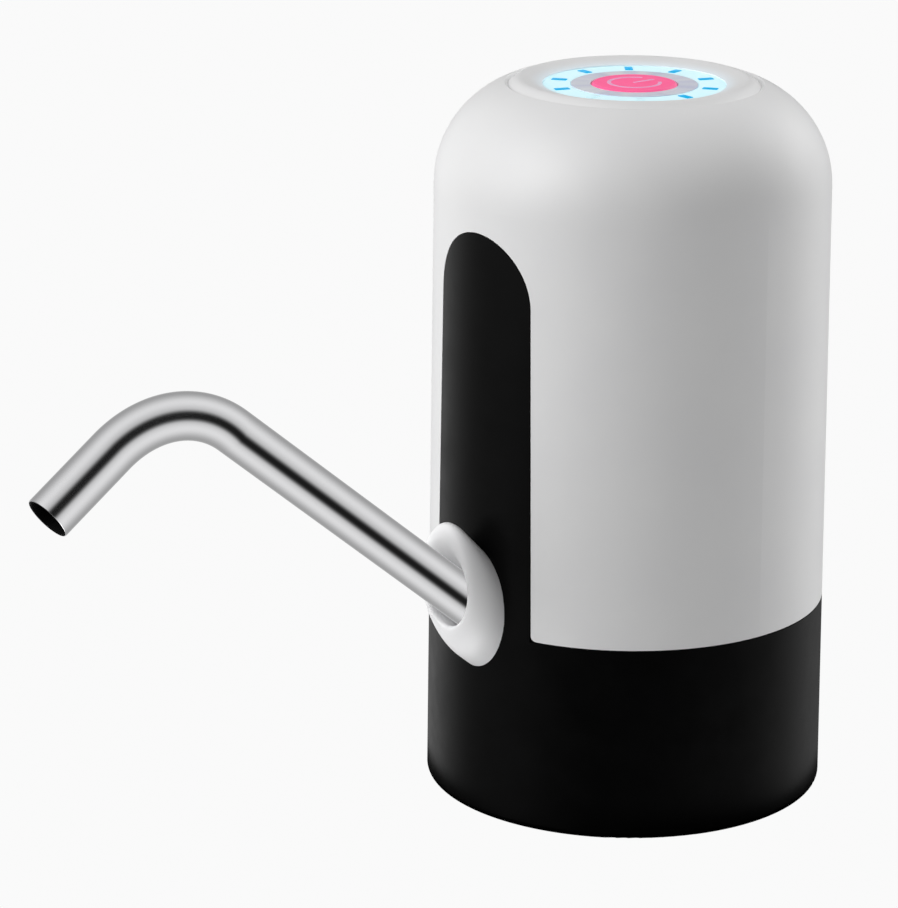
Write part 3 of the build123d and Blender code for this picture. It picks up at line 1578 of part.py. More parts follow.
# Button bezel: bright ring round the button, its flange under the light ring
bezel_top = ring_top + bezel_rise
bezel_bottom = light_flange - bezel_flange_thickness
bezel_points = [
    (bezel_inner, bezel_bottom),
    (bezel_flange_radius, bezel_bottom),
    (bezel_flange_radius, light_flange),
    (light_ring_inner - bezel_gap, light_flange),
    (light_ring_inner - bezel_gap, bezel_top),
    (bezel_inner, bezel_top),
]

with BuildPart() as button_bezel:
    revolve(outline(bezel_points, Plane.XZ), axis=Axis.Z)
button_bezel.part.label = "button_bezel"
export_step(button_bezel.part, "parts/button_bezel.step")

# Power button: cap with a stop flange, resting on the switch's plunger
button_top = bezel_top + button_rise
button_flange_top = bezel_bottom - button_play
button_flange_bottom = button_flange_top - button_flange_thickness
button_points = [
    (0, plunger_top),
    (button_boss_radius, plunger_top),
    (button_boss_radius, button_flange_bottom),
    (button_flange_radius, button_flange_bottom),
    (button_flange_radius, button_flange_top),
    (button_radius, button_flange_top),
    (button_radius, button_top - button_edge_round),
    (button_radius - button_edge_round, button_top),
    (0, button_top),
]

with BuildPart() as power_button:
    revolve(outline(button_points, Plane.XZ), axis=Axis.Z)
power_button.part.label = "power_button"
export_step(power_button.part, "parts/power_button.step")

# Leads: from the cell's tabs and the motor's terminals to the charging board
solder_x = battery_x - battery_radius - lead_solder_gap
landing_height = charge_board_top + lead_radius
upper_lead_height = cell_top - lead_radius
lower_lead_height = cell_bottom + lead_radius
positive_lead_x = battery_x - positive_lead_offset
negative_lead_x = battery_x - negative_lead_offset
near_motor_lead_x = pump_x + near_motor_lead_offset
far_motor_lead_x = pump_x + far_motor_lead_offset
motor_lead_bend_y = pump_y + motor_lead_bend_offset
lead_descent_y = charge_board_front - lead_descent
lead_landing_y = charge_board_front + lead_landing
terminal_lead_height = motor_bottom - terminal_length + lead_radius
near_terminal_x = pump_x + terminal_circle_radius + terminal_thickness / 2
far_terminal_x = pump_x - terminal_circle_radius
far_terminal_y = pump_y + terminal_width / 2


def lead_section(start, heading):
    # Round section of a wire, square to the way it starts
    with BuildSketch(Plane(origin=start, z_dir=heading)) as section:
        Circle(lead_radius)
    return section.sketch


def lead_route(points):
    # Straight runs of a wire, rounded at the corners
    with BuildLine() as route:
        FilletPolyline(*points, radius=lead_bend_radius)
    return route.wire()


positive_points = [
    (solder_x, battery_y, upper_lead_height),
    (positive_lead_x, battery_y, upper_lead_height),
    (positive_lead_x, battery_y, landing_height),
    (positive_lead_x, lead_landing_y, landing_height),
]
negative_points = [
    (solder_x, battery_y, lower_lead_height),
    (negative_lead_x, battery_y, lower_lead_height),
    (negative_lead_x, motor_lead_bend_y, landing_height),
    (negative_lead_x, lead_landing_y, landing_height),
]
near_points = [
    (near_terminal_x, pump_y, terminal_lead_height),
    (near_motor_lead_x, pump_y, terminal_lead_height),
    (near_motor_lead_x, lead_descent_y, landing_height),
    (near_motor_lead_x, lead_landing_y, landing_height),
]
far_points = [
    (far_terminal_x, far_terminal_y, terminal_lead_height),
    (far_terminal_x, motor_lead_bend_y, terminal_lead_height),
    (far_motor_lead_x, motor_lead_bend_y, terminal_lead_height),
    (far_motor_lead_x, lead_descent_y, landing_height),
    (far_motor_lead_x, lead_landing_y, landing_height),
]

with BuildPart() as battery_lead_positive:
    sweep(lead_section(positive_points[0], (-1, 0, 0)), path=lead_route(positive_points))
battery_lead_positive.part.label = "battery_lead_positive"
export_step(battery_lead_positive.part, "parts/battery_lead_positive.step")

with BuildPart() as battery_lead_negative:
    sweep(lead_section(negative_points[0], (-1, 0, 0)), path=lead_route(negative_points))
battery_lead_negative.part.label = "battery_lead_negative"
export_step(battery_lead_negative.part, "parts/battery_lead_negative.step")

with BuildPart() as motor_leads:
    sweep(lead_section(near_points[0], (1, 0, 0)), path=lead_route(near_points))
    sweep(lead_section(far_points[0], (0, 1, 0)), path=lead_route(far_points))
motor_leads.part.label = "motor_leads"
export_step(motor_leads.part, "parts/motor_leads.step")

with BuildPart() as switch_lead:
    with BuildSketch(Plane.XY.offset(charge_board_top)):
        with Locations((0, charge_board_front + ribbon_landing)):
            Rectangle(ribbon_width, ribbon_thickness)
    extrude(amount=board_bottom - charge_board_top)
switch_lead.part.label = "switch_lead"
export_step(switch_lead.part, "parts/switch_lead.step")
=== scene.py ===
import json
import math

import bmesh
import bpy
from mathutils import Matrix, Vector


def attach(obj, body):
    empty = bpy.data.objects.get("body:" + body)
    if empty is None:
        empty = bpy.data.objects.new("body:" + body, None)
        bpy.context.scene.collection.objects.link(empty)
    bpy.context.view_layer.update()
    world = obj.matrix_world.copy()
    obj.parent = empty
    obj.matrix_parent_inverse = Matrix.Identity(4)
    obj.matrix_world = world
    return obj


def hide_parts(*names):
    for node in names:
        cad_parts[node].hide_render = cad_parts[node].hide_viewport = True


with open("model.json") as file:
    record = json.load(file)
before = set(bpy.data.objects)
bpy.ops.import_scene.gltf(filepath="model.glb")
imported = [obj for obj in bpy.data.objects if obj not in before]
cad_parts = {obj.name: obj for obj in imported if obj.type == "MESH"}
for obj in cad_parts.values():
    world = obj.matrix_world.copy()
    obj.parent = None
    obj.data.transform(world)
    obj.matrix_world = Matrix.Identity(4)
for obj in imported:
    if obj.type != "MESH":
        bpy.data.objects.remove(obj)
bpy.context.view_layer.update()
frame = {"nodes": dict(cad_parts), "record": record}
nodes = frame["nodes"]
perMetre = 1000  # the dictionaries of the pieces are in millimetres
print("frame loaded:", len(nodes), "nodes")


# The camera stands to the right of the spout and looks a little down. Places in metres.
cameraSetup = {
    "place": (0.525707, -0.465106, 0.275010),
    "right": (0.62549449, 0.78021617, 0.00440087),
    "up": (-0.22970187, 0.17875420, 0.95670476),
    "back": (0.74564985, -0.59942444, 0.29102688),
    "lens": 156.69,
    "sensor": 36.0,
    "nearest": 0.01,
    "farthest": 60,
}


def placeCamera(setup):
    data = bpy.data.cameras.new("pumpCamera")
    data.lens = setup["lens"]
    data.sensor_width = setup["sensor"]
    data.clip_start = setup["nearest"]
    data.clip_end = setup["farthest"]
    stand = bpy.data.objects.new("pumpCamera", data)
    turn = Matrix((setup["right"], setup["up"], setup["back"])).transposed()
    stand.matrix_world = Matrix.Translation(setup["place"]) @ turn.to_4x4()
    bpy.context.scene.collection.objects.link(stand)
    bpy.context.scene.camera = stand


placeCamera(cameraSetup)
print("camera placed")


# Helpers for the materials' nodes
def bareMaterial(name):
    material = bpy.data.materials.new(name)
    material.use_nodes = True
    tree = material.node_tree
    tree.nodes.clear()
    return material, tree, tree.nodes.new("ShaderNodeOutputMaterial")


def newMaterial(name):
    material, tree, output = bareMaterial(name)
    shader = tree.nodes.new("ShaderNodeBsdfPrincipled")
    tree.links.new(shader.outputs[0], output.inputs[0])
    return material, tree, shader


def feed(tree, value, socket):
    # A number is set on the socket, and another node's output is linked to it
    if isinstance(value, (int, float)):
        socket.default_value = value
    else:
        tree.links.new(value, socket)


def mathStep(tree, operation, *values):
    step = tree.nodes.new("ShaderNodeMath")
    step.operation = operation
    for index, value in enumerate(values):
        feed(tree, value, step.inputs[index])
    return step.outputs[0]


def surfacePoint(tree, stretch=(1, 1, 1), attribute=None):
    if attribute:
        source = tree.nodes.new("ShaderNodeAttribute")
        source.attribute_name = attribute
        point = source.outputs["Vector"]
    else:
        point = tree.nodes.new("ShaderNodeTexCoord").outputs["Object"]
    mapping = tree.nodes.new("ShaderNodeMapping")
    mapping.inputs["Scale"].default_value = stretch
    tree.links.new(point, mapping.inputs["Vector"])
    return mapping.outputs["Vector"]


def cloud(tree, point, scale, detail=2.0, rough=0.5):
    noise = tree.nodes.new("ShaderNodeTexNoise")
    noise.inputs["Scale"].default_value = scale
    noise.inputs["Detail"].default_value = detail
    noise.inputs["Roughness"].default_value = rough
    tree.links.new(point, noise.inputs["Vector"])
    return noise.outputs["Fac"]


def spread(tree, value, low, high, fromLow=0.3, fromHigh=0.7):
    remap = tree.nodes.new("ShaderNodeMapRange")
    remap.inputs["From Min"].default_value = fromLow
    remap.inputs["From Max"].default_value = fromHigh
    remap.inputs["To Min"].default_value = low
    remap.inputs["To Max"].default_value = high
    tree.links.new(value, remap.inputs["Value"])
    return remap.outputs["Result"]


def twoTone(tree, value, first, second, fromLow=0.3, fromHigh=0.7):
    ramp = tree.nodes.new("ShaderNodeValToRGB")
    ramp.color_ramp.elements[0].position = fromLow
    ramp.color_ramp.elements[0].color = (*first, 1)
    ramp.color_ramp.elements[1].position = fromHigh
    ramp.color_ramp.elements[1].color = (*second, 1)
    tree.links.new(value, ramp.inputs["Fac"])
    return ramp.outputs["Color"]


def bumpy(tree, shader, height, depth, below=None):
    # Depth in metres, laid over the bumps given as below
    bump = tree.nodes.new("ShaderNodeBump")
    bump.inputs["Distance"].default_value = depth
    tree.links.new(height, bump.inputs["Height"])
    if below is not None:
        tree.links.new(below, bump.inputs["Normal"])
    tree.links.new(bump.outputs["Normal"], shader.inputs["Normal"])
    return bump.outputs["Normal"]


# One finish for each slot of the record: two tones that drift into each other (on the silver a painted
# sheen fanning round by bearing), a roughness that wanders, and a fine grain over a slow waviness.
# Depths in metres.
finishes = {
    "shell_white": {"tone": (0.80, 0.80, 0.80), "shade": (0.775, 0.775, 0.78), "rough": (0.38, 0.46),
                    "grain": 3200, "grainDepth": 4e-6, "wave": 60, "waveDepth": 2e-5},
    "base_black": {"tone": (0.0006, 0.0006, 0.0006), "shade": (0.0010, 0.0010, 0.0011),
                   "rough": (0.32, 0.40), "specular": 0.1,
                   "grain": 3000, "grainDepth": 5e-6, "wave": 60, "waveDepth": 2e-5},
    # The collar's white is lifted above a plain white: partly its own colour, partly painted light for the
    # bounce it takes
    "collar_white": {"tone": (0.97, 0.97, 0.975), "shade": (0.95, 0.95, 0.96), "rough": (0.38, 0.46),
                     "grain": 3600, "grainDepth": 3e-6, "wave": 90, "waveDepth": 2e-5},
    "fitting_plastic": {"tone": (0.66, 0.66, 0.61), "shade": (0.60, 0.60, 0.55), "rough": (0.35, 0.5),
                        "grain": 3000, "grainDepth": 6e-6, "wave": 120, "waveDepth": 3e-5},
    "seal_rubber": {"tone": (0.018, 0.018, 0.018), "shade": (0.03, 0.03, 0.03), "rough": (0.55, 0.7),
                    "grain": 4200, "grainDepth": 1e-5, "wave": 200, "waveDepth": 3e-5},
    "hose_silicone": {"tone": (0.72, 0.76, 0.74), "shade": (0.64, 0.69, 0.67), "rough": (0.25, 0.4),
                      "grain": 1500, "grainDepth": 5e-6, "wave": 150, "waveDepth": 4e-5, "through": 0.35},
    "plain_steel": {"tone": (0.56, 0.56, 0.57), "shade": (0.44, 0.44, 0.46), "rough": (0.25, 0.42),
                    "grain": 2600, "grainDepth": 4e-6, "wave": 300, "waveDepth": 1e-5, "metal": 1.0},
    "gasket_silicone": {"tone": (0.62, 0.64, 0.63), "shade": (0.54, 0.56, 0.55), "rough": (0.4, 0.55),
                        "grain": 2600, "grainDepth": 8e-6, "wave": 120, "waveDepth": 4e-5, "through": 0.2},
    "frame_plastic": {"tone": (0.035, 0.035, 0.038), "shade": (0.05, 0.05, 0.053), "rough": (0.45, 0.6),
                      "grain": 2200, "grainDepth": 1.2e-5, "wave": 80, "waveDepth": 4e-5},
    "cell_wrap": {"tone": (0.012, 0.10, 0.36), "shade": (0.008, 0.075, 0.29), "rough": (0.2, 0.35),
                  "grain": 900, "grainDepth": 1e-5, "wave": 180, "waveDepth": 6e-5, "coat": 0.3},
    "nickel": {"tone": (0.62, 0.59, 0.52), "shade": (0.5, 0.47, 0.42), "rough": (0.22, 0.4),
               "grain": 2600, "grainDepth": 5e-6, "wave": 260, "waveDepth": 2e-5, "metal": 1.0},
    "foam": {"tone": (0.02, 0.02, 0.02), "shade": (0.04, 0.04, 0.04), "rough": (0.8, 0.95),
             "grain": 2400, "grainDepth": 6e-5, "wave": 300, "waveDepth": 8e-5},
    "motor_steel": {"tone": (0.55, 0.56, 0.57), "shade": (0.42, 0.43, 0.45), "rough": (0.22, 0.38),
                    "grain": 2400, "grainDepth": 5e-6, "wave": 150, "waveDepth": 2e-5, "metal": 1.0},
    "end_cap": {"tone": (0.70, 0.66, 0.57), "shade": (0.63, 0.59, 0.5), "rough": (0.42, 0.55),
                "grain": 2600, "grainDepth": 8e-6, "wave": 120, "waveDepth": 3e-5},
    "contact_brass": {"tone": (0.62, 0.47, 0.2), "shade": (0.5, 0.37, 0.15), "rough": (0.25, 0.42),
                      "grain": 2600, "grainDepth": 4e-6, "wave": 260, "waveDepth": 1e-5, "metal": 1.0},
    "ferrite": {"tone": (0.03, 0.03, 0.032), "shade": (0.05, 0.05, 0.052), "rough": (0.55, 0.75),
                "grain": 3600, "grainDepth": 1.2e-5, "wave": 260, "waveDepth": 3e-5},
    "bronze": {"tone": (0.42, 0.24, 0.1), "shade": (0.3, 0.17, 0.07), "rough": (0.4, 0.6),
               "grain": 4200, "grainDepth": 1.2e-5, "wave": 260, "waveDepth": 2e-5, "metal": 0.9},
    "carbon": {"tone": (0.02, 0.02, 0.02), "shade": (0.035, 0.035, 0.035), "rough": (0.5, 0.7),
               "grain": 3600, "grainDepth": 1e-5, "wave": 260, "waveDepth": 2e-5},
    "core_steel": {"tone": (0.25, 0.25, 0.26), "shade": (0.17, 0.17, 0.18), "rough": (0.35, 0.5),
                   "grain": 2000, "grainDepth": 2e-5, "wave": 200, "waveDepth": 2e-5, "metal": 1.0,
                   "stretch": (0.02, 0.02, 1)},
    "copper": {"tone": (0.62, 0.2, 0.07), "shade": (0.46, 0.13, 0.04), "rough": (0.25, 0.42),
               "grain": 2600, "grainDepth": 2e-5, "wave": 200, "waveDepth": 3e-5, "metal": 1.0},
    "pump_plastic": {"tone": (0.03, 0.03, 0.033), "shade": (0.045, 0.045, 0.05), "rough": (0.4, 0.55),
                     "grain": 2600, "grainDepth": 9e-6, "wave": 120, "waveDepth": 3e-5},
    "diaphragm_rubber": {"tone": (0.02, 0.02, 0.02), "shade": (0.032, 0.032, 0.032), "rough": (0.6, 0.75),
                         "grain": 3600, "grainDepth": 1e-5, "wave": 160, "waveDepth": 4e-5},
    "board_green": {"tone": (0.008, 0.13, 0.045), "shade": (0.012, 0.19, 0.07), "rough": (0.25, 0.4),
                    "grain": 1500, "grainDepth": 1e-5, "wave": 320, "waveDepth": 2e-5, "coat": 0.4},
    "socket_steel": {"tone": (0.6, 0.6, 0.61), "shade": (0.48, 0.48, 0.5), "rough": (0.2, 0.34),
                     "grain": 2600, "grainDepth": 4e-6, "wave": 300, "waveDepth": 1e-5, "metal": 1.0},
    "chip_black": {"tone": (0.015, 0.015, 0.015), "shade": (0.025, 0.025, 0.025), "rough": (0.45, 0.6),
                   "grain": 4200, "grainDepth": 8e-6, "wave": 320, "waveDepth": 1e-5},
    "lamp_white": {"tone": (0.8, 0.82, 0.72), "shade": (0.74, 0.76, 0.6), "rough": (0.3, 0.42),
                   "grain": 3600, "grainDepth": 5e-6, "wave": 320, "waveDepth": 1e-5},
    "lead_red": {"tone": (0.46, 0.012, 0.012), "shade": (0.36, 0.008, 0.008), "rough": (0.35, 0.5),
                 "grain": 2600, "grainDepth": 5e-6, "wave": 260, "waveDepth": 3e-5},
    "lead_black": {"tone": (0.012, 0.012, 0.012), "shade": (0.02, 0.02, 0.02), "rough": (0.35, 0.5),
                   "grain": 2600, "grainDepth": 5e-6, "wave": 260, "waveDepth": 3e-5},
    "lead_grey": {"tone": (0.32, 0.32, 0.33), "shade": (0.26, 0.26, 0.27), "rough": (0.4, 0.55),
                  "grain": 2600, "grainDepth": 5e-6, "wave": 260, "waveDepth": 3e-5},
    "diffuser": {"tone": (0.63, 0.80, 0.81), "shade": (0.58, 0.77, 0.80), "rough": (0.35, 0.45),
                 "specular": 0.05,
                 "grain": 2600, "grainDepth": 5e-6, "wave": 160, "waveDepth": 2e-5,
                 "glow": (0.55, 0.88, 1.0), "glowStrength": 0.34},
    # The silver's two tones fan round by bearing: painted sheen, as the disc is hardly metallic
    "bezel_silver": {"tone": (0.80, 0.82, 0.86), "shade": (0.63, 0.65, 0.79), "rough": (0.28, 0.40),
                     "specular": 0.1,
                     "grain": 2600, "grainDepth": 4e-6, "wave": 300, "waveDepth": 1e-5, "metal": 0.06,
                     "sheenFans": 2.6},
    "button_red": {"tone": (0.93, 0.128, 0.30), "shade": (0.88, 0.108, 0.27), "rough": (0.32, 0.42),
                   "specular": 0.08,
                   "grain": 2600, "grainDepth": 5e-6, "wave": 160, "waveDepth": 2e-5,
                   "glow": (0.9, 0.16, 0.36), "glowStrength": 0.25},
    # Painted shade: the inside of the steel tube, made near black where little light gets in
    "bore_painted_shade": {"tone": (0.002, 0.002, 0.002), "shade": (0.004, 0.004, 0.004), "rough": (0.6, 0.8),
                  "specular": 0.05,
                  "grain": 2600, "grainDepth": 2e-6, "wave": 120, "waveDepth": 4e-6},
    "spout_steel": {"tone": (0.74, 0.74, 0.75), "shade": (0.68, 0.68, 0.69), "rough": (0.14, 0.20),
                    "grain": 2600, "grainDepth": 2e-6, "wave": 120, "waveDepth": 4e-6, "metal": 1.0,
                    "stretch": (1, 1, 0.01), "attribute": "tubeLay"},
}

# What all the finishes share: details of the noise, and how much finer the rubbed places are
grainSetup = {
    "plainSpecular": 0.5,
    "driftDetail": 3.0,
    "fanDetail": 1.0,
    "rubFiner": 2.3,
    "rubDetail": 4.0,
    "rubRough": 0.6,
    "grainDetail": 1.0,
}


def bearingPoint(tree):
    # Only the bearing about the upright axis, for the fans of painted sheen that stand in for the light on
    # turned metal
    unit = tree.nodes.new("ShaderNodeVectorMath")
    unit.operation = "NORMALIZE"
    tree.links.new(surfacePoint(tree, (1, 1, 0)), unit.inputs[0])
    return unit.outputs["Vector"]


def haloRound(tree, shader, halo):
    # Painted glow: emission for the light that the plastic takes from the ring beside it, fading outwards
    flat = tree.nodes.new("ShaderNodeVectorMath")
    flat.operation = "LENGTH"
    tree.links.new(surfacePoint(tree, (1, 1, 0)), flat.inputs[0])
    fade = spread(tree, flat.outputs["Value"], 1.0, 0.0, halo["inner"], halo["outer"])
    steep = mathStep(tree, "POWER", fade, halo["fall"])
    split = tree.nodes.new("ShaderNodeSeparateXYZ")
    tree.links.new(surfacePoint(tree), split.inputs[0])
    above = spread(tree, split.outputs["Z"], 0.0, halo["strength"], halo["low"], halo["high"])
    shader.inputs["Emission Color"].default_value = (*halo["colour"], 1)
    tree.links.new(mathStep(tree, "MULTIPLY", steep, above), shader.inputs["Emission Strength"])


def makeFinish(name, look):
    material, tree, shader = newMaterial(name)
    shader.inputs["Specular IOR Level"].default_value = look.get("specular", grainSetup["plainSpecular"])
    point = surfacePoint(tree, look.get("stretch", (1, 1, 1)), look.get("attribute"))
    drift = cloud(tree, point, look["wave"], grainSetup["driftDetail"])
    patches = drift
    # On the silver the tones fan out by bearing: a painted sheen of turned metal
    if "sheenFans" in look:
        patches = cloud(tree, bearingPoint(tree), look["sheenFans"], grainSetup["fanDetail"])
    tree.links.new(twoTone(tree, patches, look["tone"], look["shade"]), shader.inputs["Base Color"])
    finer = look["wave"] * grainSetup["rubFiner"]
    rub = cloud(tree, point, finer, grainSetup["rubDetail"], grainSetup["rubRough"])
    tree.links.new(spread(tree, rub, *look["rough"]), shader.inputs["Roughness"])
    slow = bumpy(tree, shader, drift, look["waveDepth"])
    grain = cloud(tree, point, look["grain"], grainSetup["grainDetail"])
    bumpy(tree, shader, grain, look["grainDepth"], slow)
    shader.inputs["Metallic"].default_value = look.get("metal", 0.0)
    shader.inputs["Coat Weight"].default_value = look.get("coat", 0.0)
    shader.inputs["Transmission Weight"].default_value = look.get("through", 0.0)
    if "glow" in look:
        shader.inputs["Emission Color"].default_value = (*look["glow"], 1)
        shader.inputs["Emission Strength"].default_value = look["glowStrength"]
    if "halo" in look:
        haloRound(tree, shader, look["halo"])
    return material


materials = {}
for slot, look in finishes.items():
    materials[slot] = makeFinish(slot + "Finish", look)
for part in frame["record"]["subparts"]:
    mesh = nodes[part["node"]].data
    mesh.materials.clear()
    mesh.materials.append(materials[part["material_slot"]])


# Helpers for the pieces made here
def newPiece(name, mesh, finish):
    mesh.materials.clear()
    mesh.materials.append(finish)
    piece = bpy.data.objects.new(name, mesh)
    bpy.context.scene.collection.objects.link(piece)
    return piece


def addPiece(name, mesh, finish, body, stands=()):
    piece = newPiece(name, mesh, finish)
    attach(piece, body)
    if stands:
        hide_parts(*stands)


def plainMesh(name, shape):
    mesh = bpy.data.meshes.new(name)
    shape.to_mesh(mesh)
    shape.free()
    return mesh


def closeMesh(name, shape, sharpAngle):
    bmesh.ops.recalc_face_normals(shape, faces=shape.faces)
    mesh = plainMesh(name, shape)
    mesh.shade_smooth()
    mesh.set_sharp_from_angle(angle=math.radians(sharpAngle))
    return mesh


def join(shape, here, there):
    # Quads all the way round between two closed rings of vertices
    count = len(here)
    for step in range(count):
        following = (step + 1) % count
        shape.faces.new((here[step], there[step], there[following], here[following]))


def rounded(points, radius, steps=4):
    # Rounds each corner of a closed profile by up to the radius
    result = []
    total = len(points)
    mostOfSide = 2.2  # two neighbouring corners never meet on the side between them
    for index, corner in enumerate(points):
        before = Vector(points[index - 1])
        after = Vector(points[(index + 1) % total])
        middle = Vector(corner)
        toBefore, toAfter = before - middle, after - middle
        reach = min(radius, toBefore.length / mostOfSide, toAfter.length / mostOfSide)
        start = middle + toBefore.normalized() * reach
        end = middle + toAfter.normalized() * reach
        for step in range(steps + 1):
            share = step / steps
            low = start.lerp(middle, share)
            high = middle.lerp(end, share)
            result.append(tuple(low.lerp(high, share)))
    return result


# Spout: the bent tube, with a rolled lip at its mouth
spout = {
    "rootHeight": 39.75,
    "rootReach": 36.694736,
    "rise": 39.08,
    "fall": 35.12,
    "plug": 5.0,
    "run": 83.9,
    "drop": 31.5,
    "bend": 20.5,
    "radius": 4.2,
    "wall": 0.5,
    "around": 128,
    "runSteps": 25,
    "bendSteps": 48,
    "dropSteps": 10,
    "lipSteps": 8,
    "paintedShadeLipSteps": 6,
    "sharpAngle": 50,
}


def spoutPath(setup):
    # Places along the tube's middle and the way ahead at each, from its root to its mouth
    rise, fall = math.radians(setup["rise"]), math.radians(setup["fall"])
    root = Vector((0, -setup["rootReach"], setup["rootHeight"]))
    upward = Vector((0, -math.cos(rise), math.sin(rise)))
    downward = Vector((0, -math.cos(fall), -math.sin(fall)))
    corner = root + upward * setup["run"]
    turn = rise + fall
    trim = setup["bend"] * math.tan(turn / 2)
    start = corner - upward * trim
    inward = Vector((0, -upward.z, upward.y))
    centre = start + inward * setup["bend"]
    points = []
    foot = root - upward * setup["plug"]
    for step in range(setup["runSteps"]):
        points.append((foot.lerp(start, step / setup["runSteps"]), upward))
    for step in range(setup["bendSteps"] + 1):
        angle = turn * step / setup["bendSteps"]
        heading = rise - angle
        ahead = Vector((0, -math.cos(heading), math.sin(heading)))
        outward = Vector((0, ahead.z, -ahead.y))
        points.append((centre + outward * setup["bend"], ahead))
    tip = corner + downward * setup["drop"]
    first = points[-1][0]
    for step in range(1, setup["dropSteps"] + 1):
        points.append((first.lerp(tip, step / setup["dropSteps"]), downward))
    return points


def tubeRows(setup):
    # Out along the outer wall, round the lip and back along the bore: place, way ahead, radius.
    # The bore's near-black finish, painted shade where little light gets in, starts at the row given
    # second.
    path = spoutPath(setup)
    wall, radius = setup["wall"], setup["radius"]
    rows = [(place, ahead, radius) for place, ahead in path[:-1]]
    tip, ahead = path[-1]
    roll = wall / 2
    for step in range(setup["lipSteps"] + 1):
        angle = math.pi * step / setup["lipSteps"]
        place = tip + ahead * (roll * math.sin(angle) - roll)
        rows.append((place, ahead, radius - roll + roll * math.cos(angle)))
    paintedShadeFrom = len(rows) - setup["paintedShadeLipSteps"]
    rows += [(place, ahead, radius - wall) for place, ahead in reversed(path[:-1])]
    return rows, paintedShadeFrom


def makeSpout(setup):
    rows, paintedShadeFrom = tubeRows(setup)
    around = setup["around"]
    shape = bmesh.new()
    across = Vector((1, 0, 0))
    rings, lays = [], []
    travelled = 0.0
    last = rows[0][0]
    for place, ahead, size in rows:
        travelled += (place - last).length
        last = place
        up = across.cross(ahead)
        ring = []
        for step in range(around):
            angle = 2 * math.pi * step / around
            offset = across * math.cos(angle) + up * math.sin(angle)
            ring.append(shape.verts.new((place + offset * size) / perMetre))
            lie = (math.cos(angle) * size, math.sin(angle) * size, travelled)
            lays += [value / perMetre for value in lie]
        rings.append(ring)
    for index, here in enumerate(rings):
        join(shape, here, rings[(index + 1) % len(rings)])
    shape.verts.index_update()
    mesh = closeMesh("steelSpout", shape, setup["sharpAngle"])
    # How the grain lies: round the tube in two of the numbers, along it in the third
    lay = mesh.attributes.new("tubeLay", "FLOAT_VECTOR", "POINT")
    lay.data.foreach_set("vector", lays)
    addPiece("steelSpout", mesh, materials["spout_steel"], "spout", ["spout_tube"])
    # The bore and the inner half of the lip take a near-black finish: painted shade inside the tube
    mesh.materials.append(materials["bore_painted_shade"])
    for number, face in enumerate(mesh.polygons):
        if number // around >= paintedShadeFrom:
            face.material_index = 1


makeSpout(spout)
print("spout made")


# Collar: the soft oval boss that the spout comes out of, round like a bun, with a shallow
# funnel down to the tube. Depths count back from its foremost plane.
collar = {
    "reach": 7.2,
    "halfWidth": 7.8,
    "halfHeight": 12.1,
    "lift": 0.85,
    "tightRadius": 5.05,
    "crestShare": 0.36,
    "funnelDepth": 2.9,
    "crestDepth": {"right": 1.1, "left": 0.2, "top": 0.2, "bottom": 0.8},
    "outerDepth": {"right": 5.0, "left": 4.0, "top": 2.5, "bottom": 4.0},
    "topTaper": 1.0,
    "funnelSteps": 12,
    "outerSteps": 20,
    "tightDepth": 5.0,
    "wideRadius": 5.3,
    "wideDepth": 6.2,
    "neckRadius": 6.9,
    "neckDepth": 8.6,
    "backDepth": 12.5,
    "seatSink": 0.3,
    "seatRounds": 8,
    "footRadius": 37.0,
    "draft": 0.44,
    "around": 160,
    "sharpAngle": 40,
}


def roundBy(values, turn):
    # A value that differs at the two sides, the top and the bottom, blended round the oval
    across, up = math.cos(turn), math.sin(turn)
    sides = values["right"] * max(across, 0) ** 2 + values["left"] * max(-across, 0) ** 2
    return sides + values["top"] * max(up, 0) ** 2 + values["bottom"] * max(-up, 0) ** 2


def collarPoint(setup, turn, share, depth):
    # Share 0 lies on the bore round the tube, share 1 on the outer wall
    lean = math.radians(spout["rise"])
    boreHeight = setup["tightRadius"] / math.cos(lean)
    width = setup["tightRadius"] + (setup["halfWidth"] - setup["tightRadius"]) * share
    height = boreHeight + (setup["halfHeight"] - boreHeight) * share
    middle = spout["rootHeight"] + (setup["reach"] - depth) * math.tan(lean) + setup["lift"] * share
    front = spout["rootReach"] + setup["reach"]
    return Vector((width * math.cos(turn), depth - front, middle + height * math.sin(turn)))


def pipeRing(setup, turns, radius, depth):
    # An upright cut of a round bore or neck that follows the spout
    lean = math.radians(spout["rise"])
    middle = spout["rootHeight"] + (setup["reach"] - depth) * math.tan(lean)
    front = spout["rootReach"] + setup["reach"]
    height = radius / math.cos(lean)
    return [
        Vector((radius * math.cos(turn), depth - front, middle + height * math.sin(turn)))
        for turn in turns
    ]


def seatPoint(setup, start, turn):
    # Runs back along the spout until just under the body's surface, found in a few rounds,
    # and the top comes down a little
    taper = setup["topTaper"] * max(math.sin(turn), 0) ** 2
    place = start.copy()
    for _ in range(setup["seatRounds"]):
        body = setup["footRadius"] - place.z * math.tan(math.radians(setup["draft"])) - setup["seatSink"]
        place.y = -math.sqrt(body ** 2 - place.x ** 2)
        place.z = start.z - (place.y - start.y) * math.tan(math.radians(spout["rise"])) - taper
    return place


def outerRing(setup, turns, step):
    # From the outer wall, step 0, forward over the shoulder to the crest
    angle = math.pi / 2 * (1 - step / setup["outerSteps"])
    share = setup["crestShare"] + (1 - setup["crestShare"]) * math.sin(angle)
    ring = []
    for turn in turns:
        shoulder = roundBy(setup["outerDepth"], turn) * (1 - math.cos(angle))
        ring.append(collarPoint(setup, turn, share, roundBy(setup["crestDepth"], turn) + shoulder))
    return ring


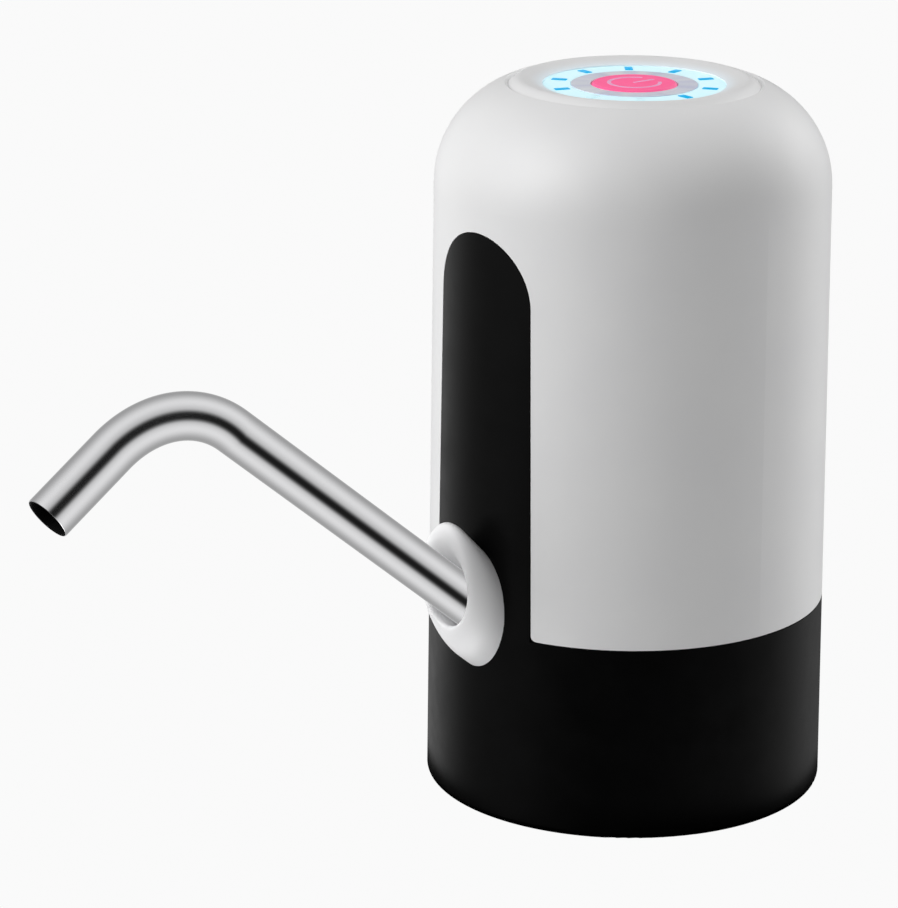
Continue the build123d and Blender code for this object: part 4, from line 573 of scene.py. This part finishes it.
def funnelRing(setup, turns, step):
    # From the crest, step 0, back down the funnel to the bore
    angle = math.pi / 2 * (1 - step / setup["funnelSteps"])
    share = setup["crestShare"] * (1 - math.cos(angle))
    ring = []
    for turn in turns:
        crest = roundBy(setup["crestDepth"], turn)
        depth = crest + (setup["funnelDepth"] - crest) * (1 - math.sin(angle))
        ring.append(collarPoint(setup, turn, share, depth))
    return ring


def makeCollar(setup):
    turns = [2 * math.pi * step / setup["around"] for step in range(setup["around"])]
    outer = [outerRing(setup, turns, step) for step in range(setup["outerSteps"] + 1)]
    funnel = [funnelRing(setup, turns, step) for step in range(1, setup["funnelSteps"] + 1)]
    seat = [seatPoint(setup, point, turn) for point, turn in zip(outer[0], turns)]
    halfway = [low.lerp(high, 0.5) for low, high in zip(seat, outer[0])]
    neck = [
        pipeRing(setup, turns, setup["neckRadius"], setup["backDepth"]),
        pipeRing(setup, turns, setup["neckRadius"], setup["neckDepth"]),
    ]
    bore = [
        pipeRing(setup, turns, setup["tightRadius"], setup["tightDepth"]),
        pipeRing(setup, turns, setup["wideRadius"], setup["wideDepth"]),
        pipeRing(setup, turns, setup["wideRadius"], setup["backDepth"]),
    ]
    shape = bmesh.new()
    rings = [
        [shape.verts.new(point / perMetre) for point in ring]
        for ring in neck + [seat, halfway] + outer + funnel + bore
    ]
    for index, here in enumerate(rings):
        join(shape, here, rings[(index + 1) % len(rings)])
    mesh = closeMesh("softCollar", shape, setup["sharpAngle"])
    addPiece("softCollar", mesh, materials["collar_white"], "pump", ["spout_collar"])


makeCollar(collar)
print("collar made")


# Shell: the dome as it is, with its lip sloping softly down to the light ring, and the ring's
# light painted on it as a glow. The halo is in metres.
lip = {
    "wellRadius": 16.6,
    "crestRadius": 20.6,
    "grooveRadius": 22.3,
    "grooveHeight": 131.95,
    "crestHeight": 132.80,
    "wellHeight": 131.80,
    "slopeCurve": 1.15,
    "slopeStep": 0.02,
    "slack": 0.03,
    "uprightBelow": 0.25,
    "halo": {"inner": 0.0166, "outer": 0.0192, "fall": 1.6, "low": 0.1309, "high": 0.1316,
             "strength": 0.16, "colour": (0.35, 0.75, 1.0)},
}


def lipHeight(setup, reach):
    if reach > setup["crestRadius"]:
        share = (setup["grooveRadius"] - reach) / (setup["grooveRadius"] - setup["crestRadius"])
        rise = setup["crestHeight"] - setup["grooveHeight"]
        return setup["grooveHeight"] + rise * math.sin(math.pi / 2 * share)
    share = (setup["crestRadius"] - reach) / (setup["crestRadius"] - setup["wellRadius"])
    drop = setup["crestHeight"] - setup["wellHeight"]
    return setup["crestHeight"] - drop * share ** setup["slopeCurve"]


def lipSlope(setup, reach):
    low = max(reach - setup["slopeStep"], setup["wellRadius"])
    high = min(reach + setup["slopeStep"], setup["grooveRadius"])
    return (lipHeight(setup, high) - lipHeight(setup, low)) / (high - low)


def copyOf(node, name):
    # The solid's mesh again, with the normals at its corners
    mesh = nodes[node].data.copy()
    mesh.name = name
    return mesh, [Vector(corner.vector) for corner in mesh.corner_normals]


def softShell(setup):
    mesh, normals = copyOf("upper_shell", "softShell")
    slack = setup["slack"]
    onLip = {}
    for vertex in mesh.vertices:
        reach = math.hypot(vertex.co.x, vertex.co.y) * perMetre
        if setup["wellRadius"] - slack < reach < setup["grooveRadius"] + slack:
            if vertex.co.z * perMetre > setup["grooveHeight"] - slack:
                onLip[vertex.index] = min(max(reach, setup["wellRadius"]), setup["grooveRadius"])
    for face in mesh.polygons:
        upright = face.normal.z < setup["uprightBelow"]
        if upright or any(corner not in onLip for corner in face.vertices):
            continue
        for corner in face.loop_indices:
            number = mesh.loops[corner].vertex_index
            place, reach = mesh.vertices[number].co, onLip[number]
            slope = lipSlope(setup, reach) * perMetre / reach
            normals[corner] = Vector((-slope * place.x, -slope * place.y, 1)).normalized()
    for number, reach in onLip.items():
        mesh.vertices[number].co.z = lipHeight(setup, reach) / perMetre
    mesh.normals_split_custom_set(normals)
    finish = makeFinish("softShellFinish", {**finishes["shell_white"], "halo": setup["halo"]})
    addPiece("softShell", mesh, finish, "pump", ["upper_shell"])


softShell(lip)
print("shell softened")


# Base: the same form, with its outer wall shaded evenly all the way round
baseWall = {
    "footRadius": 37.0,
    "draft": 0.44,
    "slack": 0.01,
    "flatAbove": 0.1,
}


def smoothBase(setup):
    mesh, normals = copyOf("base_shell", "smoothBase")
    slope = math.tan(math.radians(setup["draft"]))
    onWall = set()
    for vertex in mesh.vertices:
        wall = setup["footRadius"] - vertex.co.z * perMetre * slope
        if abs(math.hypot(vertex.co.x, vertex.co.y) * perMetre - wall) < setup["slack"]:
            onWall.add(vertex.index)
    for face in mesh.polygons:
        flat = abs(face.normal.z) > setup["flatAbove"]
        if flat or any(corner not in onWall for corner in face.vertices):
            continue
        for corner in face.loop_indices:
            place = mesh.vertices[mesh.loops[corner].vertex_index].co
            outward = Vector((place.x, place.y, 0)).normalized()
            normals[corner] = Vector((outward.x, outward.y, slope)).normalized()
    mesh.normals_split_custom_set(normals)
    addPiece("smoothBase", mesh, materials["base_black"], "pump", ["base_shell"])


smoothBase(baseWall)
print("base smoothed")


# Top: the marks on the light ring and the symbol on the button
barEdge = {
    "drop": 0.03,
    "inset": 0.04,
    "sharpAngle": 40,
}

markSet = {
    "ringTop": 131.60,
    "count": 10,
    "first": -1.0,
    "inner": 12.6,
    "outer": 15.4,
    "width": 1.45,
    "corner": 0.22,
    "rise": 0.1,
    "sink": 0.25,
    "dark": (8, 9),
}

symbolSet = {
    "buttonTop": 131.90,
    "radius": 4.6,
    "stroke": 0.7,
    "gap": 62.0,
    "steps": 60,
    "barFrom": -0.2,
    "barTo": 4.7,
    "corner": 0.3,
    "rise": 0.04,
    "sink": 0.1,
}

glowSkin = {
    "specular": 0.08,
    "wave": 900,
    "grain": 2200,
    "detail": 2.0,
    "rough": (0.25, 0.4),
    "depth": 6e-6,
}

glows = {
    "litBlue": {"tone": (0.0, 0.03, 0.07), "shade": (0.0, 0.02, 0.05), "glow": (0.0, 0.42, 0.77),
                "strength": 1.0},
    "restBlue": {"tone": (0.57, 0.76, 0.79), "shade": (0.53, 0.73, 0.77), "glow": (0.55, 0.88, 1.0),
                 "strength": 0.3},
    "palePrint": {"tone": (0.72, 0.37, 0.56), "shade": (0.68, 0.33, 0.52), "glow": (0.8, 0.42, 0.62),
                  "strength": 0.22},
}


def glowFinish(name, look, skin):
    material, tree, shader = newMaterial(name)
    point = surfacePoint(tree)
    drift = cloud(tree, point, skin["wave"], skin["detail"])
    tree.links.new(twoTone(tree, drift, look["tone"], look["shade"]), shader.inputs["Base Color"])
    shader.inputs["Emission Color"].default_value = (*look["glow"], 1)
    shader.inputs["Specular IOR Level"].default_value = skin["specular"]
    shader.inputs["Emission Strength"].default_value = look["strength"]
    grain = cloud(tree, point, skin["grain"], skin["detail"])
    tree.links.new(spread(tree, grain, *skin["rough"]), shader.inputs["Roughness"])
    bumpy(tree, shader, drift, skin["depth"])
    return material


def flatBars(name, outlines, low, high):
    # Upright bars over closed outlines of (x, y) points, with a soft top edge
    shape = bmesh.new()
    for points in outlines:
        corners = [Vector(point) for point in points]
        middle = sum(corners, Vector((0, 0))) / len(corners)
        levels = []
        for height, inset in ((low, 0.0), (high - barEdge["drop"], 0.0), (high, barEdge["inset"])):
            ring = []
            for corner in corners:
                place = corner + (middle - corner).normalized() * inset
                ring.append(shape.verts.new(Vector((*place, height)) / perMetre))
            levels.append(ring)
        for lower, upper in zip(levels, levels[1:]):
            join(shape, lower, upper)
        shape.faces.new(levels[-1])
        shape.faces.new(list(reversed(levels[0])))
    return closeMesh(name, shape, barEdge["sharpAngle"])


def markOutline(setup, bearing):
    half = setup["width"] / 2
    turn = Matrix.Rotation(math.radians(bearing), 2)
    inner, outer = setup["inner"], setup["outer"]
    corners = [(inner, -half), (outer, -half), (outer, half), (inner, half)]
    return [tuple(turn @ Vector(point)) for point in rounded(corners, setup["corner"])]


def makeMarks(setup):
    places = {"litMarks": [], "restMarks": []}
    for index in range(setup["count"]):
        bearing = setup["first"] + 360 / setup["count"] * index
        name = "restMarks" if index in setup["dark"] else "litMarks"
        places[name].append(markOutline(setup, bearing))
    low, high = setup["ringTop"] - setup["sink"], setup["ringTop"] + setup["rise"]
    for name, glow in (("litMarks", "litBlue"), ("restMarks", "restBlue")):
        finish = glowFinish(glow, glows[glow], glowSkin)
        addPiece(name, flatBars(name, places[name], low, high), finish, "pump")


def ringStrip(name, setup, low, high):
    # The symbol's open ring, as a strip of quads with upright sides and closed ends
    half, gap = setup["stroke"] / 2, math.radians(setup["gap"])
    sweep = 2 * math.pi - gap
    shape = bmesh.new()
    columns = []
    for step in range(setup["steps"] + 1):
        turn = math.pi / 2 + gap / 2 + sweep * step / setup["steps"]
        column = []
        for radius, height in ((half, low), (half, high), (-half, high), (-half, low)):
            reach = setup["radius"] + radius
            place = Vector((reach * math.cos(turn), reach * math.sin(turn), height))
            column.append(shape.verts.new(place / perMetre))
        columns.append(column)
    for here, there in zip(columns, columns[1:]):
        join(shape, here, there)
    shape.faces.new(columns[0])
    shape.faces.new(list(reversed(columns[-1])))
    return closeMesh(name, shape, barEdge["sharpAngle"])


def makeSymbol(setup):
    low, high = setup["buttonTop"] - setup["sink"], setup["buttonTop"] + setup["rise"]
    half, start, end = setup["stroke"] / 2, setup["barFrom"], setup["barTo"]
    bar = rounded([(-half, start), (half, start), (half, end), (-half, end)], setup["corner"])
    finish = glowFinish("palePrint", glows["palePrint"], glowSkin)
    addPiece("powerArc", ringStrip("powerArc", setup, low, high), finish, "button")
    addPiece("powerBar", flatBars("powerBar", [bar], low, high), finish, "button")


makeMarks(markSet)
makeSymbol(symbolSet)
print("top marks made")


# Stage: a wide pale floor and a soft studio all round. Lengths in metres.
studio = {
    "paper": 0.955,
    "floorRadius": 14.0,
    "floorHeight": -0.0002,
    "contactInner": 0.036,
    "contactOuter": 0.043,
    "contactHeight": -0.0004,
    "around": 96,
    "softLights": {
        # towards the light, how narrow, how strong
        "overRight": ((0.61, 0.09, 0.79), 10, 0.88),
        "leftTop": ((-0.21, -0.82, 0.54), 10, 3.60),
        "rightSide": ((0.19, 0.90, 0.38), 10, 2.82),
        "leftSide": ((-0.35, -0.87, 0.35), 10, 1.80),
        "rightBehind": ((-0.02, 0.96, 0.27), 10, 1.27),
        "behind": ((-1.00, -0.03, -0.07), 10, 1.29),
        "bounceRight": ((0.09, 0.37, -0.92), 10, 3.90),
        "bounceFront": ((0.29, 0.13, -0.95), 10, 3.74),
        "bounceLeft": ((0.18, -0.10, -0.98), 10, 1.31),
        "bounceUnder": ((0.05, 0.08, -1.00), 10, 3.18),
    },
}

# A sleeve of light close round the spout, with a dark slot where the camera looks in. It starts
# inside the collar and ends a little beyond the mouth. Angles in degrees.
tent = {
    "radius": 4.4,
    "around": 181,
    "farAround": 90,
    "from": -3.0,
    "beyond": 1.0,
    "beyondSteps": 4,
    "slotTurn": -1.8,
    "slotWidth": 12.3,
    "slotDepth": 0.97,
    "slotSteepness": 4,
    "low": 0.42,
    "hump": 0.55,
    "humpAt": 32.0,
    "humpWidth": 20.0,
    "rim": 0.42,
    "rimWidth": 10.0,
}


def oneSidedGlow(name, strength=1.0, attribute=None):
    # Glows on its front and is clear from the back
    material, tree, output = bareMaterial(name)
    emission = tree.nodes.new("ShaderNodeEmission")
    emission.inputs["Strength"].default_value = strength
    if attribute:
        source = tree.nodes.new("ShaderNodeAttribute")
        source.attribute_name = attribute
        tree.links.new(source.outputs["Fac"], emission.inputs["Strength"])
    clear = tree.nodes.new("ShaderNodeBsdfTransparent")
    side = tree.nodes.new("ShaderNodeNewGeometry")
    mix = tree.nodes.new("ShaderNodeMixShader")
    tree.links.new(side.outputs["Backfacing"], mix.inputs[0])
    tree.links.new(emission.outputs[0], mix.inputs[1])
    tree.links.new(clear.outputs[0], mix.inputs[2])
    tree.links.new(mix.outputs[0], output.inputs[0])
    return material


def paperFloor(setup):
    shape = bmesh.new()
    bmesh.ops.create_circle(shape, cap_ends=True, segments=setup["around"], radius=setup["floorRadius"])
    bmesh.ops.translate(shape, verts=shape.verts, vec=(0, 0, setup["floorHeight"]))
    finish = oneSidedGlow("paperFinish", strength=setup["paper"])
    floor = newPiece("paperFloor", plainMesh("paperFloor", shape), finish)
    floor.visible_diffuse = False
    floor.visible_glossy = False


def contactRing(setup):
    # Keeps the light from below off the foot's edge, as a table does
    shape = bmesh.new()
    rings = []
    for radius in (setup["contactInner"], setup["contactOuter"]):
        ring = []
        for step in range(setup["around"]):
            turn = 2 * math.pi * step / setup["around"]
            place = (radius * math.cos(turn), radius * math.sin(turn), setup["contactHeight"])
            ring.append(shape.verts.new(place))
        rings.append(ring)
    join(shape, *rings)
    finish, _, shader = newMaterial("contactFinish")
    shader.inputs["Base Color"].default_value = (0.0, 0.0, 0.0, 1)
    shader.inputs["Specular IOR Level"].default_value = 0.0
    ring = newPiece("contactRing", plainMesh("contactRing", shape), finish)
    ring.visible_camera = False


def softLight(tree, direction, towards, tightness, strength, total):
    # Strongest towards one side and fading away from it, added to the light so far
    dot = tree.nodes.new("ShaderNodeVectorMath")
    dot.operation = "DOT_PRODUCT"
    dot.inputs[1].default_value = Vector(towards).normalized()
    tree.links.new(direction, dot.inputs[0])
    narrow = mathStep(tree, "MULTIPLY_ADD", dot.outputs["Value"], tightness, -tightness)
    curve = mathStep(tree, "EXPONENT", narrow)
    return mathStep(tree, "MULTIPLY_ADD", curve, strength, total)


def evenLight(tree, strength):
    light = tree.nodes.new("ShaderNodeBackground")
    light.inputs["Color"].default_value = (1, 1, 1, 1)
    feed(tree, strength, light.inputs["Strength"])
    return light.outputs[0]


def studioWorld(setup):
    # The camera sees the pale paper, and the object sees the soft lights
    world = bpy.data.worlds.new("studioWorld")
    world.use_nodes = True
    tree = world.node_tree
    tree.nodes.clear()
    output = tree.nodes.new("ShaderNodeOutputWorld")
    direction = tree.nodes.new("ShaderNodeTexCoord").outputs["Generated"]
    total = 0.0
    for towards, tightness, strength in setup["softLights"].values():
        total = softLight(tree, direction, towards, tightness, strength, total)
    seen = tree.nodes.new("ShaderNodeLightPath")
    mix = tree.nodes.new("ShaderNodeMixShader")
    tree.links.new(seen.outputs["Is Camera Ray"], mix.inputs[0])
    tree.links.new(evenLight(tree, total), mix.inputs[1])
    tree.links.new(evenLight(tree, setup["paper"]), mix.inputs[2])
    tree.links.new(mix.outputs[0], output.inputs[0])
    bpy.context.scene.world = world


def tentGlow(setup, angle):
    # Light that the steel should mirror where its surface turns this far from the camera
    aside = (angle - setup["slotTurn"]) / setup["slotWidth"]
    slot = 1 - setup["slotDepth"] * math.exp(-(aside ** setup["slotSteepness"]))
    hump = setup["hump"] * math.exp(-(((abs(angle) - setup["humpAt"]) / setup["humpWidth"]) ** 2))
    rim = setup["rim"] * math.exp(-(((abs(angle) - 90) / setup["rimWidth"]) ** 2))
    return slot * (setup["low"] + hump + rim)


def tentTurns(setup, tube):
    # Round the sleeve: where it is hit by light off each part of the near side, and the same light
    # mirrored onto the far side, so that the steel has its stripe from behind too
    ratio = tube["radius"] / setup["radius"]
    turns = []
    for step in range(setup["around"]):
        angle = -90 + 180 * step / (setup["around"] - 1)
        turn = math.radians(angle)
        turns.append((2 * turn - math.asin(ratio * math.sin(turn)), tentGlow(setup, angle)))
    edge = turns[-1][0]
    for step in range(1, setup["farAround"]):
        share = step / setup["farAround"]
        turns.append((edge + 2 * (math.pi - edge) * share, tentGlow(setup, 90 - 180 * share)))
    return turns


def tentPath(setup, tube):
    path = spoutPath(tube)
    root = path[0][0]
    start = setup["from"] + tube["plug"]
    path = [(place, ahead) for place, ahead in path if (place - root).length > start]
    tip, downward = path[-1]
    for step in range(1, setup["beyondSteps"] + 1):
        path.append((tip + downward * setup["beyond"] * step / setup["beyondSteps"], downward))
    return path


def lightTent(setup, tube):
    turns = tentTurns(setup, tube)
    viewpoint = Vector(cameraSetup["place"]) * perMetre
    shape = bmesh.new()
    rings, strengths = [], []
    for place, ahead in tentPath(setup, tube):
        sight = (viewpoint - place).normalized()
        facing = (sight - ahead * sight.dot(ahead)).normalized()
        aside = ahead.cross(facing)
        ring = []
        for spin, strength in turns:
            offset = (facing * math.cos(spin) + aside * math.sin(spin)) * setup["radius"]
            ring.append(shape.verts.new((place + offset) / perMetre))
            strengths.append(strength)
        rings.append(ring)
    for here, there in zip(rings, rings[1:]):
        join(shape, here, there)
    shape.verts.index_update()
    mesh = plainMesh("lightTent", shape)
    light = mesh.attributes.new("tentLight", "FLOAT", "POINT")
    light.data.foreach_set("value", strengths)
    sleeve = newPiece("lightTent", mesh, oneSidedGlow("tentFinish", attribute="tentLight"))
    # Only mirrored light meets the sleeve
    sleeve.visible_camera = False
    sleeve.visible_diffuse = False
    sleeve.visible_transmission = False
    sleeve.visible_shadow = False
    sleeve.visible_volume_scatter = False
    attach(sleeve, "spout")


paperFloor(studio)
contactRing(studio)
studioWorld(studio)
lightTent(tent, spout)
print("studio set")

bpy.context.scene.view_settings.view_transform = "Standard"
